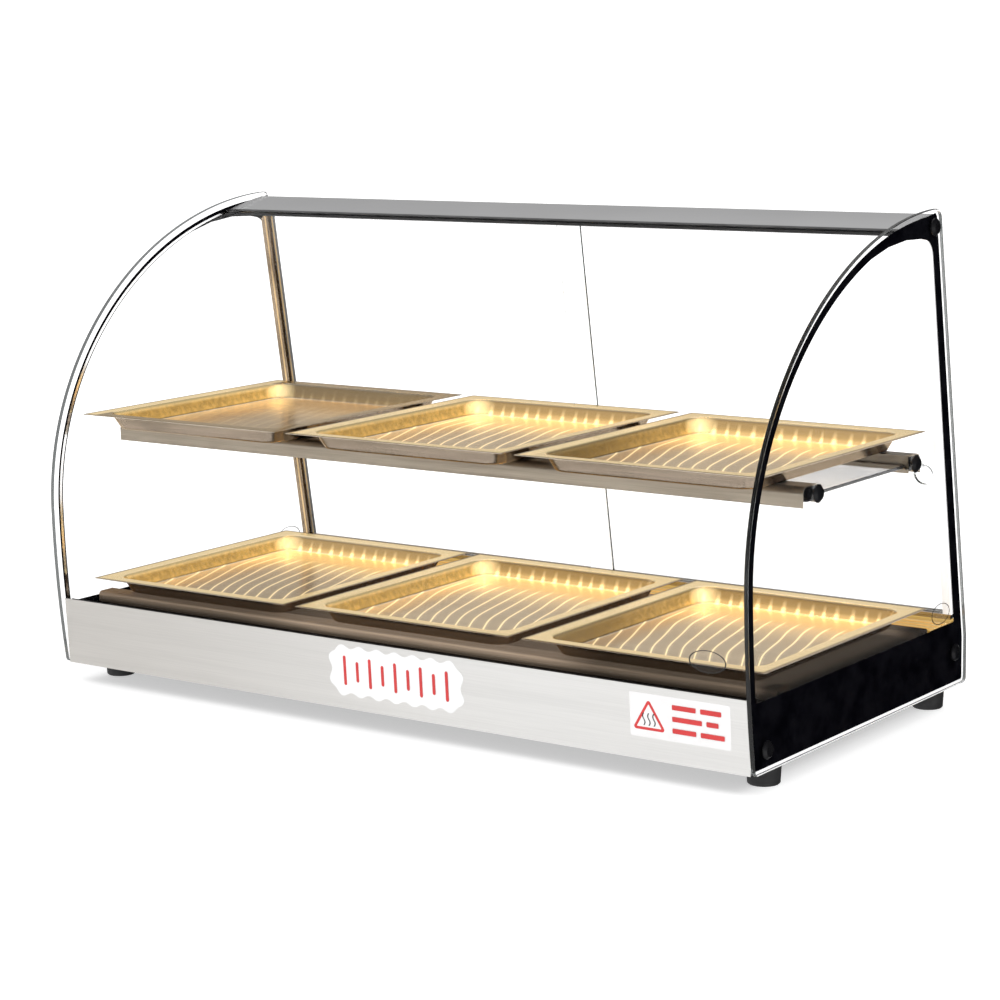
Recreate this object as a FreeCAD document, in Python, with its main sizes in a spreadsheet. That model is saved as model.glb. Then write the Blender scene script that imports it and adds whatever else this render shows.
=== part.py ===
import FreeCAD, Part
import math
import os

import Sketcher
from FreeCAD import Placement, Rotation, Vector

# Curved-glass hot food display case, two tiers of three pans.
# Frame: X along the case, -Y the customer's side, +Z up, origin under the middle of the case.
# All sizes are millimetres.

DRIVING_SIZES = {
    # Overall body
    "case_len": 1086.0,
    "glass_thick": 6.0,
    "side_gap": 1.0,
    "gap": 0.3,
    "snug": 0.1,
    "feet_high": 28.0,
    # Side panes: a quarter ellipse at the front, a leaning rear edge
    "bow_y": 195.0,
    "bow_z": 241.0,
    "bow_long": 468.5,
    "bow_high": 399.5,
    "pane_toe_radius": 1500.0,
    "pane_rear_y": 273.5,
    "pane_kink_z": 88.0,
    "pane_top_rear_y": 191.0,
    "pane_corner": 14.0,
    "pane_kink_round": 60.0,
    "front_inset": 10.0,
    "front_inset_top": 13.0,
    # Front glass
    "front_foot_z": 103.0,
    "front_foot_y": -257.5,
    "front_top_y": 98.5,
    # Roof
    "roof_front_y": 101.3,
    "roof_front_z": 619.7,
    "roof_crest_y": 170.0,
    "roof_crest_z": 634.0,
    "roof_rear_y": 187.0,
    "roof_sheet": 2.0,
    "roof_lip": 8.0,
    "roof_back_lip_z": 612.0,
    "roof_rise": 1.2,
    "roof_fall": 1.0,
    "trim_wide": 7.0,
    "trim_lip": 9.0,
    "trim_wall": 1.0,
    "beam_front_y": 126.0,
    "beam_rear_y": 166.0,
    "beam_low_z": 611.0,
    "beam_top_z": 623.0,
    "beam_end_gap": 8.0,
    "bracket_front_y": 141.0,
    "bracket_rear_y": 183.0,
    "bracket_low_z": 611.5,
    "bracket_top_z": 625.0,
    # Base
    "sheet": 1.2,
    "base_front_low_y": -258.0,
    "fascia_top_y": -262.0,
    "fascia_top_z": 117.0,
    "fascia_flange": 9.0,
    "base_rear_y": 260.0,
    "channel_wall": 2.0,
    "channel_floor": 4.0,
    "channel_sunk": 2.0,
    "channel_lean": 0.6,
    "cheek_sheet": 1.5,
    "cheek_front_y": -248.0,
    "cheek_rear_y": 258.0,
    "base_top_z": 98.0,
    "base_top_inset": 12.0,
    "slot_wide": 5.0,
    "slot_long": 46.0,
    "slot_first_x": -220.0,
    "slot_y": 110.0,
    "slot_count": 30,
    "slot_pitch": 15.0,
    "sill_front_y": 181.0,
    "sill_z": 112.0,
    "rib_first": 14.0,
    "rib_pitch": 15.0,
    "rib_high": 1.6,
    "rib_half": 2.4,
    "panel_screw_z": 104.0,
    "panel_screw_hole": 1.8,
    "panel_screw_radius": 1.7,
    "panel_screw_long": 6.0,
    "panel_head_radius": 3.5,
    "panel_head_high": 2.2,
    "vent_x": 60.0,
    "vent_low_z": 50.0,
    "vent_top_z": 92.0,
    "vent_wide": 4.0,
    "vent_pitch": 11.0,
    "vent_count": 16,
    # Heated deck
    "deck_front_y": -198.0,
    "deck_rear_y": 178.0,
    "deck_lip_z": 116.0,
    "deck_floor_z": 106.0,
    "deck_lip_wide": 26.0,
    "deck_skirt": 14.0,
    "deck_sheet": 1.2,
    "deck_round": 5.0,
    "deck_ramp": 5.0,
    "deck_end_gap": 2.0,
    # Shelf
    "rail_outer_y": -141.0,
    "rail_wide": 32.0,
    "rail_low_z": 318.0,
    "rail_top_z": 342.5,
    "rail_sheet": 1.6,
    "rail_round": 9.0,
    "rail_inner_low_z": 321.0,
    "shelf_mid_y": 5.0,
    "shelf_ledge_z": 327.5,
    "shelf_ledge": 7.0,
    "shelf_glass": 4.0,
    "shelf_slack": 0.5,
    "shelf_end_gap": 4.0,
    "plug_long": 14.0,
    "plug_clear": 8.0,
    "plug_rise": 3.0,
    # Pans
    "pan_wide": 340.0,
    "pan_deep": 404.0,
    "pan_high": 22.0,
    "pan_sheet": 1.0,
    "pan_rim": 22.0,
    "pan_draft": 6.0,
    "pan_corner": 28.0,
    "pan_rim_corner": 2.5,
    "pan_pitch": 357.5,
    "pan_low_y": -11.5,
    "pan_high_y": -19.0,
    # Rear doors, in a frame that leans with the panes
    "lean_deg": 8.5,
    "door_line_y": 240.9,
    "door_line_z": 118.0,
    "post_deep": 18.0,
    "post_wide": 12.0,
    "post_wall": 1.5,
    "post_top": 492.0,
    "track_high": 12.0,
    "low_track_high": 2.8,
    "track_sunk": 4.0,
    "track_floor": 1.0,
    "track_inset": 0.5,
    "track_end_gap": 2.0,
    "track_groove": 5.0,
    "door_thick": 4.0,
    "door_inner_n": 3.0,
    "door_outer_n": 10.5,
    "door_bottom": 1.3,
    "door_top": 497.5,
    "door_overlap": 21.0,
    "door_edge_x": 533.0,
    "grip_x": 503.0,
    "grip_up": 184.0,
    "grip_hole": 13.0,
    "grip_bore": 11.2,
    "grip_flange": 17.0,
    "grip_lip": 1.3,
    # Glass bolts
    "bolt_shank": 4.0,
    "bolt_hole": 4.6,
    "bolt_cap": 11.0,
    "bolt_cap_high": 4.5,
    "bolt_cap_top": 7.5,
    "bolt_long": 15.0,
    "washer_high": 1.5,
    "nut_size": 6.5,
    "nut_high": 4.0,
    # Feet
    "foot_x": 511.0,
    "foot_front_y": -185.5,
    "foot_rear_y": 228.5,
    "foot_top_radius": 21.0,
    "foot_low_radius": 19.5,
    "foot_chamfer": 1.5,
    "foot_flank": 3.0,
    "foot_screw_hole": 3.0,
    "foot_recess_radius": 7.0,
    "foot_recess_high": 18.0,
    "foot_hole": 2.8,
    "foot_screw_radius": 2.5,
    "foot_screw_long": 21.0,
    "foot_screw_z": 15.0,
    "foot_head_radius": 5.0,
    "foot_head_high": 3.0,
    # Heating, lighting and wiring
    "mat_half": 150.0,
    "mat_front_y": -150.0,
    "mat_rear_y": 130.0,
    "mat_thick": 3.0,
    "board_end_gap": 8.0,
    "board_front_y": -235.0,
    "board_rear_y": 190.0,
    "board_thick": 20.0,
    "led_half": 505.0,
    "led_wall": 1.5,
    "led_back": 2.0,
    "led_cap": 3.0,
    "led_slack": 0.2,
    "led_lens": 2.0,
    "led_top_y": 106.0,
    "led_top_wide": 14.0,
    "led_top_z": 611.0,
    "led_top_high": 6.0,
    "led_shelf_y": 125.0,
    "led_shelf_wide": 16.0,
    "led_shelf_z": 333.0,
    "led_shelf_high": 7.6,
    "driver_x": -130.0,
    "driver_long": 120.0,
    "driver_y": 120.0,
    "driver_wide": 45.0,
    "driver_high": 26.0,
    "terminal_x": 300.0,
    "terminal_pitch": 12.0,
    "terminal_y": 180.0,
    "terminal_wide": 24.0,
    "terminal_high": 18.0,
    "terminal_hole": 2.6,
    "terminal_deep": 8.0,
    "duct_x": -240.0,
    "duct_long": 520.0,
    "duct_y": 212.0,
    "duct_wide": 22.0,
    "bulb_x": -340.0,
    "bulb_y": 200.0,
    "bulb_z": 95.9,
    "bulb_radius": 2.0,
    "bulb_long": 60.0,
    "tube_radius": 0.9,
    "tube_bend": 11.0,
    "tube_z": 70.0,
    "tube_tuck": 0.1,
    # Controls on the rear panel
    "dial_x": -420.0,
    "dial_z": 72.0,
    "dial_radius": 19.0,
    "dial_high": 10.0,
    "dial_shaft": 3.0,
    "power_x": -345.0,
    "light_x": -300.0,
    "rocker_long": 21.0,
    "rocker_wide": 11.0,
    "rocker_off_deg": 8.0,
    "lamp_x": -262.0,
    "gland_x": 455.0,
    "gland_z": 62.0,
    "gland_radius": 11.0,
    "gland_bore": 4.5,
    "gland_stem": 8.0,
    "gland_stem_long": 12.0,
    "gland_stem_in": 10.0,
    "gland_hex_high": 4.5,
    "gland_nut_low": 9.5,
    "gland_nut_top": 7.0,
    "gland_nut_high": 6.5,
    "bush_radius": 5.0,
    "bush_long": 5.0,
    "bush_in": 2.0,
    "thermostat_half": 19.0,
    "thermostat_half_high": 15.0,
    "thermostat_front_y": 226.0,
    "thermostat_gap": 1.0,
    "shaft_start_y": 236.0,
    "shaft_long": 29.0,
    "dial_gap": 3.3,
    "dial_skirt": 3.0,
    "dial_grip_low": 15.0,
    "dial_grip_top": 13.5,
    "dial_bar_half": 3.0,
    "dial_bar_reach": 17.0,
    "dial_bar_high": 9.4,
    "dial_socket_deep": 2.3,
    "press_gap": 0.02,
    "run_gap": 0.05,
    "bezel_side": 3.2,
    "bezel_end": 4.0,
    "bezel_high": 2.0,
    "barrel_side": 1.5,
    "barrel_end": 2.0,
    "barrel_deep": 24.0,
    "well_deep": 9.0,
    "well_end": 1.1,
    "pivot_out": 1.0,
    "pin_radius": 1.1,
    "pin_reach": 0.9,
    "pin_slack": 0.2,
    "pin_gap": 0.08,
    "paddle_deep": 4.5,
    "paddle_edge": 0.5,
    "paddle_high": 4.0,
    "paddle_waist": 2.6,
    "paddle_taper": 3.0,
    "lamp_radius": 5.0,
    "lamp_stem": 22.0,
    "lamp_flange": 7.0,
    "lamp_flange_high": 1.5,
    "lamp_dome_low": 5.5,
    "lamp_dome_top": 3.5,
    "lamp_dome_high": 3.5,
}

doc = FreeCAD.newDocument("display_case")
sheet = doc.addObject("Spreadsheet::Sheet", "Dims")


class Size:
    """A length that knows its value and how the spreadsheet works it out."""

    def __init__(self, text, value):
        self.text = text
        self.value = value

    def _join(self, other, sign, value):
        return Size("(%s %s %s)" % (self.text, sign, size(other).text), value)

    def __add__(self, other):
        return self._join(other, "+", self.value + size(other).value)

    def __sub__(self, other):
        return self._join(other, "-", self.value - size(other).value)

    def __mul__(self, other):
        return self._join(other, "*", self.value * size(other).value)

    def __truediv__(self, other):
        return self._join(other, "/", self.value / size(other).value)

    def __radd__(self, other):
        return size(other) + self

    def __rsub__(self, other):
        return size(other) - self

    def __rmul__(self, other):
        return size(other) * self

    def __neg__(self):
        return Size("(0 - %s)" % self.text, -self.value)


def size(number):
    if isinstance(number, Size):
        return number
    return Size("(%.9g)" % number, float(number))


class Sizes:
    """The driving dimensions by name, each backed by its own spreadsheet cell."""


d = Sizes()
for row, (alias, number) in enumerate(DRIVING_SIZES.items(), start=1):
    sheet.set("A%d" % row, alias)
    sheet.set("B%d" % row, "%g" % number)
    sheet.setAlias("B%d" % row, alias)
    setattr(d, alias, Size("Dims." + alias, number))
doc.recompute()

# How far a cutting shape runs past the face it cuts through
OVER = 1.0
LEAN = Rotation(Vector(1, 0, 0), d.lean_deg.value)
lean_cos = Size("cos(Dims.lean_deg * 1deg)", math.cos(math.radians(d.lean_deg.value)))
lean_sin = Size("sin(Dims.lean_deg * 1deg)", math.sin(math.radians(d.lean_deg.value)))

glass_in_x = d.case_len / 2 - d.glass_thick
inner_x = glass_in_x - d.side_gap

nodes = []


def bind(thing, name, value):
    thing.setExpression(name, size(value).text)


def place(thing, x, y, z, rotation=Rotation()):
    """Puts an object at x, y, z, with the place bound to the spreadsheet."""
    x, y, z = size(x), size(y), size(z)
    thing.Placement = Placement(Vector(x.value, y.value, z.value), rotation)
    for axis, value in (("x", x), ("y", y), ("z", z)):
        bind(thing, "Placement.Base." + axis, value)
    return thing


def node(thing, label):
    """Marks an object as a finished sub-part of the case."""
    thing.Label = label
    nodes.append(thing)
    return thing


def plain_box(name, x, y, z):
    """A box between two limits on each axis."""
    block = doc.addObject("Part::Box", name)
    bind(block, "Length", size(x[1]) - x[0])
    bind(block, "Width", size(y[1]) - y[0])
    bind(block, "Height", size(z[1]) - z[0])
    return place(block, x[0], y[0], z[0])


def leaning_point(n, u):
    """Y and Z of a point n behind the door line and u up along it."""
    y = d.door_line_y + n * lean_cos - u * lean_sin
    z = d.door_line_z + n * lean_sin + u * lean_cos
    return y, z


def leaning_box(name, x, n, u):
    """A box in the leaning frame of the rear doors."""
    block = doc.addObject("Part::Box", name)
    bind(block, "Length", size(x[1]) - x[0])
    bind(block, "Width", size(n[1]) - n[0])
    bind(block, "Height", size(u[1]) - u[0])
    y, z = leaning_point(size(n[0]), size(u[0]))
    return place(block, x[0], y, z, LEAN)


def rod(name, radius, length, x, y, z, axis):
    """A cylinder that starts at x, y, z and runs along the given axis."""
    bar = doc.addObject("Part::Cylinder", name)
    bind(bar, "Radius", radius)
    bind(bar, "Height", length)
    return place(bar, x, y, z, Rotation(Vector(0, 0, 1), axis))


def cone(name, low_radius, top_radius, length, x, y, z, axis):
    taper = doc.addObject("Part::Cone", name)
    bind(taper, "Radius1", low_radius)
    bind(taper, "Radius2", top_radius)
    bind(taper, "Height", length)
    return place(taper, x, y, z, Rotation(Vector(0, 0, 1), axis))


def cut(name, base, *tools):
    """Takes each tool away from the base, and checks that material really left."""
    for number, tool in enumerate(tools):
        doc.recompute([base, tool])
        piece = doc.addObject("Part::Cut", "%s_cut%d" % (name, number))
        piece.Base = base
        piece.Tool = tool
        doc.recompute([piece])
        if piece.Shape.Volume >= base.Shape.Volume:
            raise ValueError("%s: %s removes nothing" % (name, tool.Name))
        base = piece
    return base


def fuse(name, *things):
    joined = doc.addObject("Part::MultiFuse", name + "_fuse")
    joined.Shapes = list(things)
    joined.Refine = True
    return joined


def group(label, things):
    """Identical pieces that share one node, as separate solids."""
    bundle = doc.addObject("Part::Compound", label)
    bundle.Links = list(things)
    return node(bundle, label)


X_AXIS, Y_AXIS, Z_AXIS = Vector(1, 0, 0), Vector(0, 1, 0), Vector(0, 0, 1)


# Sketched bodies

def new_body(label):
    body = doc.addObject("PartDesign::Body", label)
    return node(body, label)


def origin_plane(body, role):
    return next(part for part in body.Origin.OriginFeatures if part.Role == role)


def new_sketch(body, name, role, offset=0.0):
    drawing = body.newObject("Sketcher::SketchObject", name)
    drawing.AttachmentSupport = [(origin_plane(body, role), "")]
    drawing.MapMode = "FlatFace"
    bind(drawing, "AttachmentOffset.Base.z", offset)
    return drawing


def pin_point(drawing, element, end, x, y):
    """Fixes a sketch point at spreadsheet-driven coordinates."""
    for kind, value in (("DistanceX", size(x)), ("DistanceY", size(y))):
        index = drawing.addConstraint(Sketcher.Constraint(kind, -1, 1, element, end, value.value))
        drawing.setExpression("Constraints[%d]" % index, value.text)


def draw_polygon(drawing, points):
    """A closed outline of straight edges, every corner driven by the sheet."""
    corners = [(size(x), size(y)) for x, y in points]
    count = len(corners)
    for number in range(count):
        start, end = corners[number], corners[(number + 1) % count]
        drawing.addGeometry(Part.LineSegment(Vector(start[0].value, start[1].value, 0),
                                             Vector(end[0].value, end[1].value, 0)))
    for number in range(count):
        drawing.addConstraint(Sketcher.Constraint("Coincident", number, 2, (number + 1) % count, 1))
    for number, (x, y) in enumerate(corners):
        pin_point(drawing, number, 1, x, y)


def draw_circle(drawing, x, y, radius):
    x, y, radius = size(x), size(y), size(radius)
    number = drawing.addGeometry(Part.Circle(Vector(x.value, y.value, 0), Z_AXIS, radius.value))
    pin_point(drawing, number, 3, x, y)
    index = drawing.addConstraint(Sketcher.Constraint("Radius", number, radius.value))
    drawing.setExpression("Constraints[%d]" % index, radius.text)


def draw_path(drawing, edges):
    """A closed outline of given lines and arcs, joined end to end."""
    for edge in edges:
        drawing.addGeometry(edge)
    for number in range(len(edges)):
        drawing.addConstraint(Sketcher.Constraint("Block", number))


def draw_rounded_rectangle(drawing, wide, deep, corner, y_centre):
    """A rectangle with round corners, centred on X = 0 and the given Y."""
    half_x, half_y, r = size(wide) / 2, size(deep) / 2, size(corner)
    mid = size(y_centre)
    west, east = -half_x, half_x
    south, north = mid - half_y, mid + half_y
    ends = [((west + r, south), (east - r, south)), ((east, south + r), (east, north - r)),
            ((east - r, north), (west + r, north)), ((west, north - r), (west, south + r))]
    middles = [(east - r, south + r), (east - r, north - r), (west + r, north - r), (west + r, south + r)]
    for number in range(4):
        start, end = ends[number]
        drawing.addGeometry(Part.LineSegment(Vector(start[0].value, start[1].value, 0),
                                             Vector(end[0].value, end[1].value, 0)))
        middle = middles[number]
        circle = Part.Circle(Vector(middle[0].value, middle[1].value, 0), Z_AXIS, r.value)
        first = math.radians(-90 + 90 * number)
        drawing.addGeometry(Part.ArcOfCircle(circle, first, first + math.pi / 2))
    for number in range(4):
        line, arc, following = 2 * number, 2 * number + 1, (2 * number + 2) % 8
        drawing.addConstraint(Sketcher.Constraint("Coincident", line, 2, arc, 1))
        drawing.addConstraint(Sketcher.Constraint("Coincident", arc, 2, following, 1))
        start, end = ends[number]
        pin_point(drawing, line, 1, *start)
        pin_point(drawing, line, 2, *end)
        index = drawing.addConstraint(Sketcher.Constraint("Radius", arc, r.value))
        drawing.setExpression("Constraints[%d]" % index, r.text)


def pad(body, drawing, length, centred=False):
    solid = body.newObject("PartDesign::Pad", drawing.Name + "_pad")
    solid.Profile = drawing
    bind(solid, "Length", length)
    if centred:
        solid.SideType = "Symmetric"
    doc.recompute([drawing, solid, body])
    return solid


def pocket_through(body, drawing):
    """Cuts a sketch right through the body both ways, and checks that it cut."""
    before = body.Shape.Volume
    hole = body.newObject("PartDesign::Pocket", drawing.Name + "_pocket")
    hole.Profile = drawing
    hole.Type = "ThroughAll"
    hole.SideType = "Symmetric"
    doc.recompute([drawing, hole, body])
    if body.Shape.Volume >= before:
        raise ValueError(body.Label + ": pocket removes nothing")
    return hole


def repeat_along_x(body, drawing, pitch, count):
    """Pockets a sketch through the body and repeats the pocket in a row along X."""
    first = pocket_through(body, drawing)
    row = body.newObject("PartDesign::LinearPattern", drawing.Name + "_row")
    row.Originals = [first]
    row.Direction = (drawing, ["H_Axis"])
    bind(row, "Occurrences", count)
    bind(row, "Length", pitch * (count - 1))
    body.Tip = row
    doc.recompute([row, body])


def round_edges(body, radius, chosen):
    """Fillets the body's edges for which chosen(edge) is true."""
    base = body.Tip
    names = ["Edge%d" % (number + 1) for number, edge in enumerate(base.Shape.Edges) if chosen(edge)]
    if not names:
        raise ValueError(body.Label + ": no edge to round")
    soft = body.newObject("PartDesign::Fillet", "%s_round%d" % (body.Name, len(body.Group)))
    soft.Base = (base, names)
    bind(soft, "Radius", radius)
    doc.recompute([soft, body])
    return soft


def runs_along_x_at(*places):
    """Picks edges parallel to X that pass through one of the (y, z) places."""
    targets = [(size(y).value, size(z).value) for y, z in places]

    def chosen(edge):
        box = edge.BoundBox
        if box.XLength < 1 or box.YLength > 0.01 or box.ZLength > 0.01:
            return False
        return any(abs(box.YMin - y) < 0.05 and abs(box.ZMin - z) < 0.05 for y, z in targets)
    return chosen


def profile_body(label, outline, length):
    """A constant section in the YZ plane, drawn out equally to both sides along X."""
    body = new_body(label)
    drawing = new_sketch(body, label + "_section", "YZ_Plane")
    draw_polygon(drawing, outline)
    pad(body, drawing, length, centred=True)
    return body


# Glass

BOW_START = DRIVING_SIZES["bow_y"] - DRIVING_SIZES["bow_long"]


def ellipse_arc(inset, inset_top, start_y, end_y):
    """The bowed front line between two depths in Y, moved inwards at the front and at the top."""
    long_radius = d.bow_long.value - inset
    high_radius = d.bow_high.value - inset_top
    curve = Part.Ellipse(Vector(d.bow_y.value, d.bow_z.value, 0), long_radius, high_radius)
    first = math.acos((end_y - d.bow_y.value) / long_radius)
    last = math.acos(max(-1.0, (start_y - d.bow_y.value) / long_radius))
    return Part.ArcOfEllipse(curve, first, last)


def line(start, end):
    return Part.LineSegment(Vector(*start, 0), Vector(*end, 0))


def toe_arc(inset, low_z):
    """The barely curved front edge under the ellipse, down to a height."""
    front = d.bow_y.value - d.bow_long.value + inset
    radius = d.pane_toe_radius.value
    drop = d.bow_z.value - low_z
    sag = radius - math.sqrt(radius ** 2 - drop ** 2)
    half = drop / 2
    half_sag = radius - math.sqrt(radius ** 2 - half ** 2)
    low = Vector(front + sag, low_z, 0)
    middle = Vector(front + half_sag, d.bow_z.value - half, 0)
    high = Vector(front, d.bow_z.value, 0)
    return Part.Arc(low, middle, high)


def curve_ends(curve):
    """Start and end points of a curve as plain pairs."""
    first = curve.StartPoint
    last = curve.EndPoint
    return (first.x, first.y), (last.x, last.y)


BOLT_PLACES = [
    (-233.0, 55.0),
    (240.0, 73.0),
    (173.0, 618.0),
    (-117.0, 332.6),
    (127.0, 332.6),
]


def make_side_glass(label, outer_side):
    body = new_body(label)
    drawing = new_sketch(body, label + "_outline", "YZ_Plane", d.case_len / 2 * outer_side)
    bow = ellipse_arc(0.0, 0.0, BOW_START, d.pane_top_rear_y.value)
    toe = toe_arc(0.0, d.feet_high.value)
    top, _ = curve_ends(bow)
    toe_low, toe_high = curve_ends(toe)
    kink = (d.pane_rear_y.value, d.pane_kink_z.value)
    heel = (d.pane_rear_y.value, d.feet_high.value)
    draw_path(drawing, [toe, bow, line(top, kink), line(kink, heel), line(heel, toe_low)])
    solid = pad(body, drawing, d.glass_thick)
    solid.Reversed = outer_side > 0
    doc.recompute([solid, body])

    def corner(radius_place):
        y, z = radius_place

        def chosen(edge):
            box = edge.BoundBox
            return box.YLength < 0.01 and box.ZLength < 0.01 and math.hypot(box.YMin - y, box.ZMin - z) < 0.5
        return chosen

    round_edges(body, d.pane_corner, corner(top))
    round_edges(body, d.pane_kink_round, corner(kink))
    round_edges(body, d.pane_corner / 2, corner(toe_low))
    round_edges(body, d.pane_corner / 2, corner(heel))
    holes = new_sketch(body, label + "_holes", "YZ_Plane")
    for y, z in BOLT_PLACES:
        draw_circle(holes, y, z, d.bolt_hole)
    pocket_through(body, holes)
    return body


make_side_glass("side_glass_left", -1)
make_side_glass("side_glass_right", 1)


def make_front_glass():
    """One bent pane from the base channel to the roof."""
    body = new_body("front_glass")
    drawing = new_sketch(body, "front_glass_section", "YZ_Plane")
    foot = d.front_foot_z.value
    edges = []
    for depth in (0.0, d.glass_thick.value):
        inset, inset_top = d.front_inset.value + depth, d.front_inset_top.value + depth
        bow = ellipse_arc(inset, inset_top, BOW_START, d.front_top_y.value)
        toe = toe_arc(inset, foot)
        edges.append((toe, bow))
    (outer_toe, outer_bow), (inner_toe, inner_bow) = edges
    top_outer = curve_ends(outer_bow)[0]
    top_inner = curve_ends(inner_bow)[0]
    low_outer = curve_ends(outer_toe)[0]
    low_inner = curve_ends(inner_toe)[0]
    draw_path(drawing, [outer_toe, outer_bow, line(top_outer, top_inner), inner_bow, inner_toe,
                        line(low_inner, low_outer)])
    pad(body, drawing, inner_x * 2, centred=True)
    return body


make_front_glass()


# Roof and top beam

def front_glass_height(y):
    """Height of the front glass's outer face at a depth Y."""
    reach = (y - d.bow_y.value) / (d.bow_long.value - d.front_inset.value)
    return d.bow_z.value + (d.bow_high.value - d.front_inset_top.value) * math.sqrt(1 - reach ** 2)


def make_roof_panel():
    """Gently crowned sheet that carries on from the front glass, with a lip at the front and the back."""
    body = new_body("roof_panel")
    drawing = new_sketch(body, "roof_panel_section", "YZ_Plane")
    thick = d.roof_sheet.value
    front, crest, rear = d.roof_front_y.value, d.roof_crest_y.value, d.roof_rear_y.value
    front_z, crest_z = d.roof_front_z.value, d.roof_crest_z.value
    middle = (front + crest) / 2, (front_z + crest_z) / 2 + d.roof_rise.value
    rear_z = crest_z - d.roof_fall.value
    lip_z, back_z = front_z - d.roof_lip.value, d.roof_back_lip_z.value
    top = Part.Arc(Vector(front, front_z, 0), Vector(*middle, 0), Vector(crest, crest_z, 0))
    inner_front_z = front_z - thick * math.cos(math.atan2(crest_z - front_z, crest - front))
    under = Part.Arc(Vector(crest, crest_z - thick, 0), Vector(middle[0], middle[1] - thick, 0),
                     Vector(front + thick, inner_front_z, 0))
    draw_path(drawing, [
        top,
        line((crest, crest_z), (rear, rear_z)),
        line((rear, rear_z), (rear, back_z)),
        line((rear, back_z), (rear - thick, back_z)),
        line((rear - thick, back_z), (rear - thick, rear_z - thick)),
        line((rear - thick, rear_z - thick), (crest, crest_z - thick)),
        under,
        line((front + thick, inner_front_z), (front + thick, lip_z)),
        line((front + thick, lip_z), (front, lip_z)),
        line((front, lip_z), (front, front_z)),
    ])
    pad(body, drawing, inner_x * 2, centred=True)
    return body


make_roof_panel()


def make_glass_trim():
    """Bright channel that grips the upper edge of the front glass."""
    y_end = d.front_top_y.value
    z_end = front_glass_height(y_end)
    tilt = Rotation(X_AXIS, math.degrees(math.atan(front_glass_height(y_end + 1) - z_end)))
    body = new_body("glass_top_trim")
    drawing = new_sketch(body, "trim_section", "YZ_Plane")
    wall, gap, glass = d.trim_wall, d.gap, d.glass_thick
    draw_polygon(drawing, [
        (-d.trim_wide, gap), (-d.trim_wide, wall + gap), (wall + gap, wall + gap),
        (wall + gap, -(glass + gap + wall)), (-d.trim_lip, -(glass + gap + wall)),
        (-d.trim_lip, -(glass + gap)), (gap, -(glass + gap)), (gap, gap),
    ])
    pad(body, drawing, inner_x * 2, centred=True)
    place(body, 0, y_end, z_end, tilt)
    return body


make_glass_trim()

BEAM_Y = (d.beam_front_y, d.beam_rear_y)
BEAM_Z = (d.beam_low_z, d.beam_top_z)
beam_x = inner_x - d.beam_end_gap


def make_top_beam():
    """Rectangular tube under the roof that ties the two side panes together."""
    wall = d.cheek_sheet
    outer = plain_box("top_beam_outer", (-beam_x, beam_x), BEAM_Y, BEAM_Z)
    reach = beam_x + OVER
    inner = plain_box("top_beam_inner", (-reach, reach), (BEAM_Y[0] + wall, BEAM_Y[1] - wall),
                      (BEAM_Z[0] + wall, BEAM_Z[1] - wall))
    return node(cut("top_beam", outer, inner), "top_beam")


make_top_beam()


def make_end_bracket(label, side):
    """Flat plate between a side pane and the end of the top beam."""
    near, far = inner_x - d.roof_sheet, inner_x
    limits = (near, far) if side > 0 else (-far, -near)
    plate = plain_box(label + "_plate", limits, (d.bracket_front_y, d.bracket_rear_y),
                      (d.bracket_low_z, d.bracket_top_z))
    hole = rod(label + "_hole", d.bolt_shank + d.gap, d.roof_sheet * 3, limits[0] - d.roof_sheet,
               BOLT_PLACES[2][0], BOLT_PLACES[2][1], X_AXIS)
    return cut(label, plate, hole)


group("beam_end_brackets", [
    make_end_bracket("end_bracket_left", -1),
    make_end_bracket("end_bracket_right", 1),
])


# Rear posts, tracks and sliding doors, all in the leaning frame

track_x = inner_x - d.beam_end_gap


def make_rear_post(label, side):
    """Channel that takes the closed door's edge, open towards the middle of the case."""
    near, far = inner_x - d.post_wide, inner_x
    limits = (near, far) if side > 0 else (-far, -near)
    hollow = (near - OVER, far - d.post_wall) if side > 0 else (-far + d.post_wall, -near + OVER)
    low, high = d.low_track_high + d.gap, d.post_top - d.gap
    block = leaning_box(label + "_block", limits, (0.0, d.post_deep), (low, high))
    inside = leaning_box(label + "_inside", hollow, (d.post_wall, d.post_deep - d.post_wall),
                         (low - OVER, high + OVER))
    return node(cut(label, block, inside), label)


make_rear_post("rear_post_left", -1)
make_rear_post("rear_post_right", 1)


def groove_limits(door_n):
    slack = (d.track_groove - d.door_thick) / 2
    return door_n - slack, door_n + d.door_thick + slack


track_depth = (d.track_inset, d.post_deep - d.track_inset)


def make_lower_track():
    high = d.low_track_high
    end = inner_x - d.track_end_gap
    block = leaning_box("lower_track_block", (-end, end), track_depth, (-d.track_sunk, high))
    grooves = [leaning_box("lower_track_groove%d" % number, (-inner_x, inner_x), groove_limits(door_n),
                           (d.track_floor, high + OVER))
               for number, door_n in enumerate((d.door_inner_n, d.door_outer_n))]
    return node(cut("door_track_lower", block, *grooves), "door_track_lower")


def make_upper_track():
    low, high = d.post_top, d.post_top + d.track_high
    block = leaning_box("upper_track_block", (-track_x, track_x), track_depth, (low, high))
    grooves = [leaning_box("upper_track_groove%d" % number, (-inner_x, inner_x), groove_limits(door_n),
                           (low - OVER, high - d.post_wall))
               for number, door_n in enumerate((d.door_inner_n, d.door_outer_n))]
    return node(cut("door_track_upper", block, *grooves), "door_track_upper")


make_lower_track()
make_upper_track()


def leaning_rod(name, radius, x, n, u):
    """A cylinder across the doors, from depth n[0] to n[1]."""
    y, z = leaning_point(size(n[0]), size(u))
    bar = doc.addObject("Part::Cylinder", name)
    bind(bar, "Radius", radius)
    bind(bar, "Height", size(n[1]) - n[0])
    return place(bar, x, y, z, LEAN.multiply(Rotation(Z_AXIS, Y_AXIS)))


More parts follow.
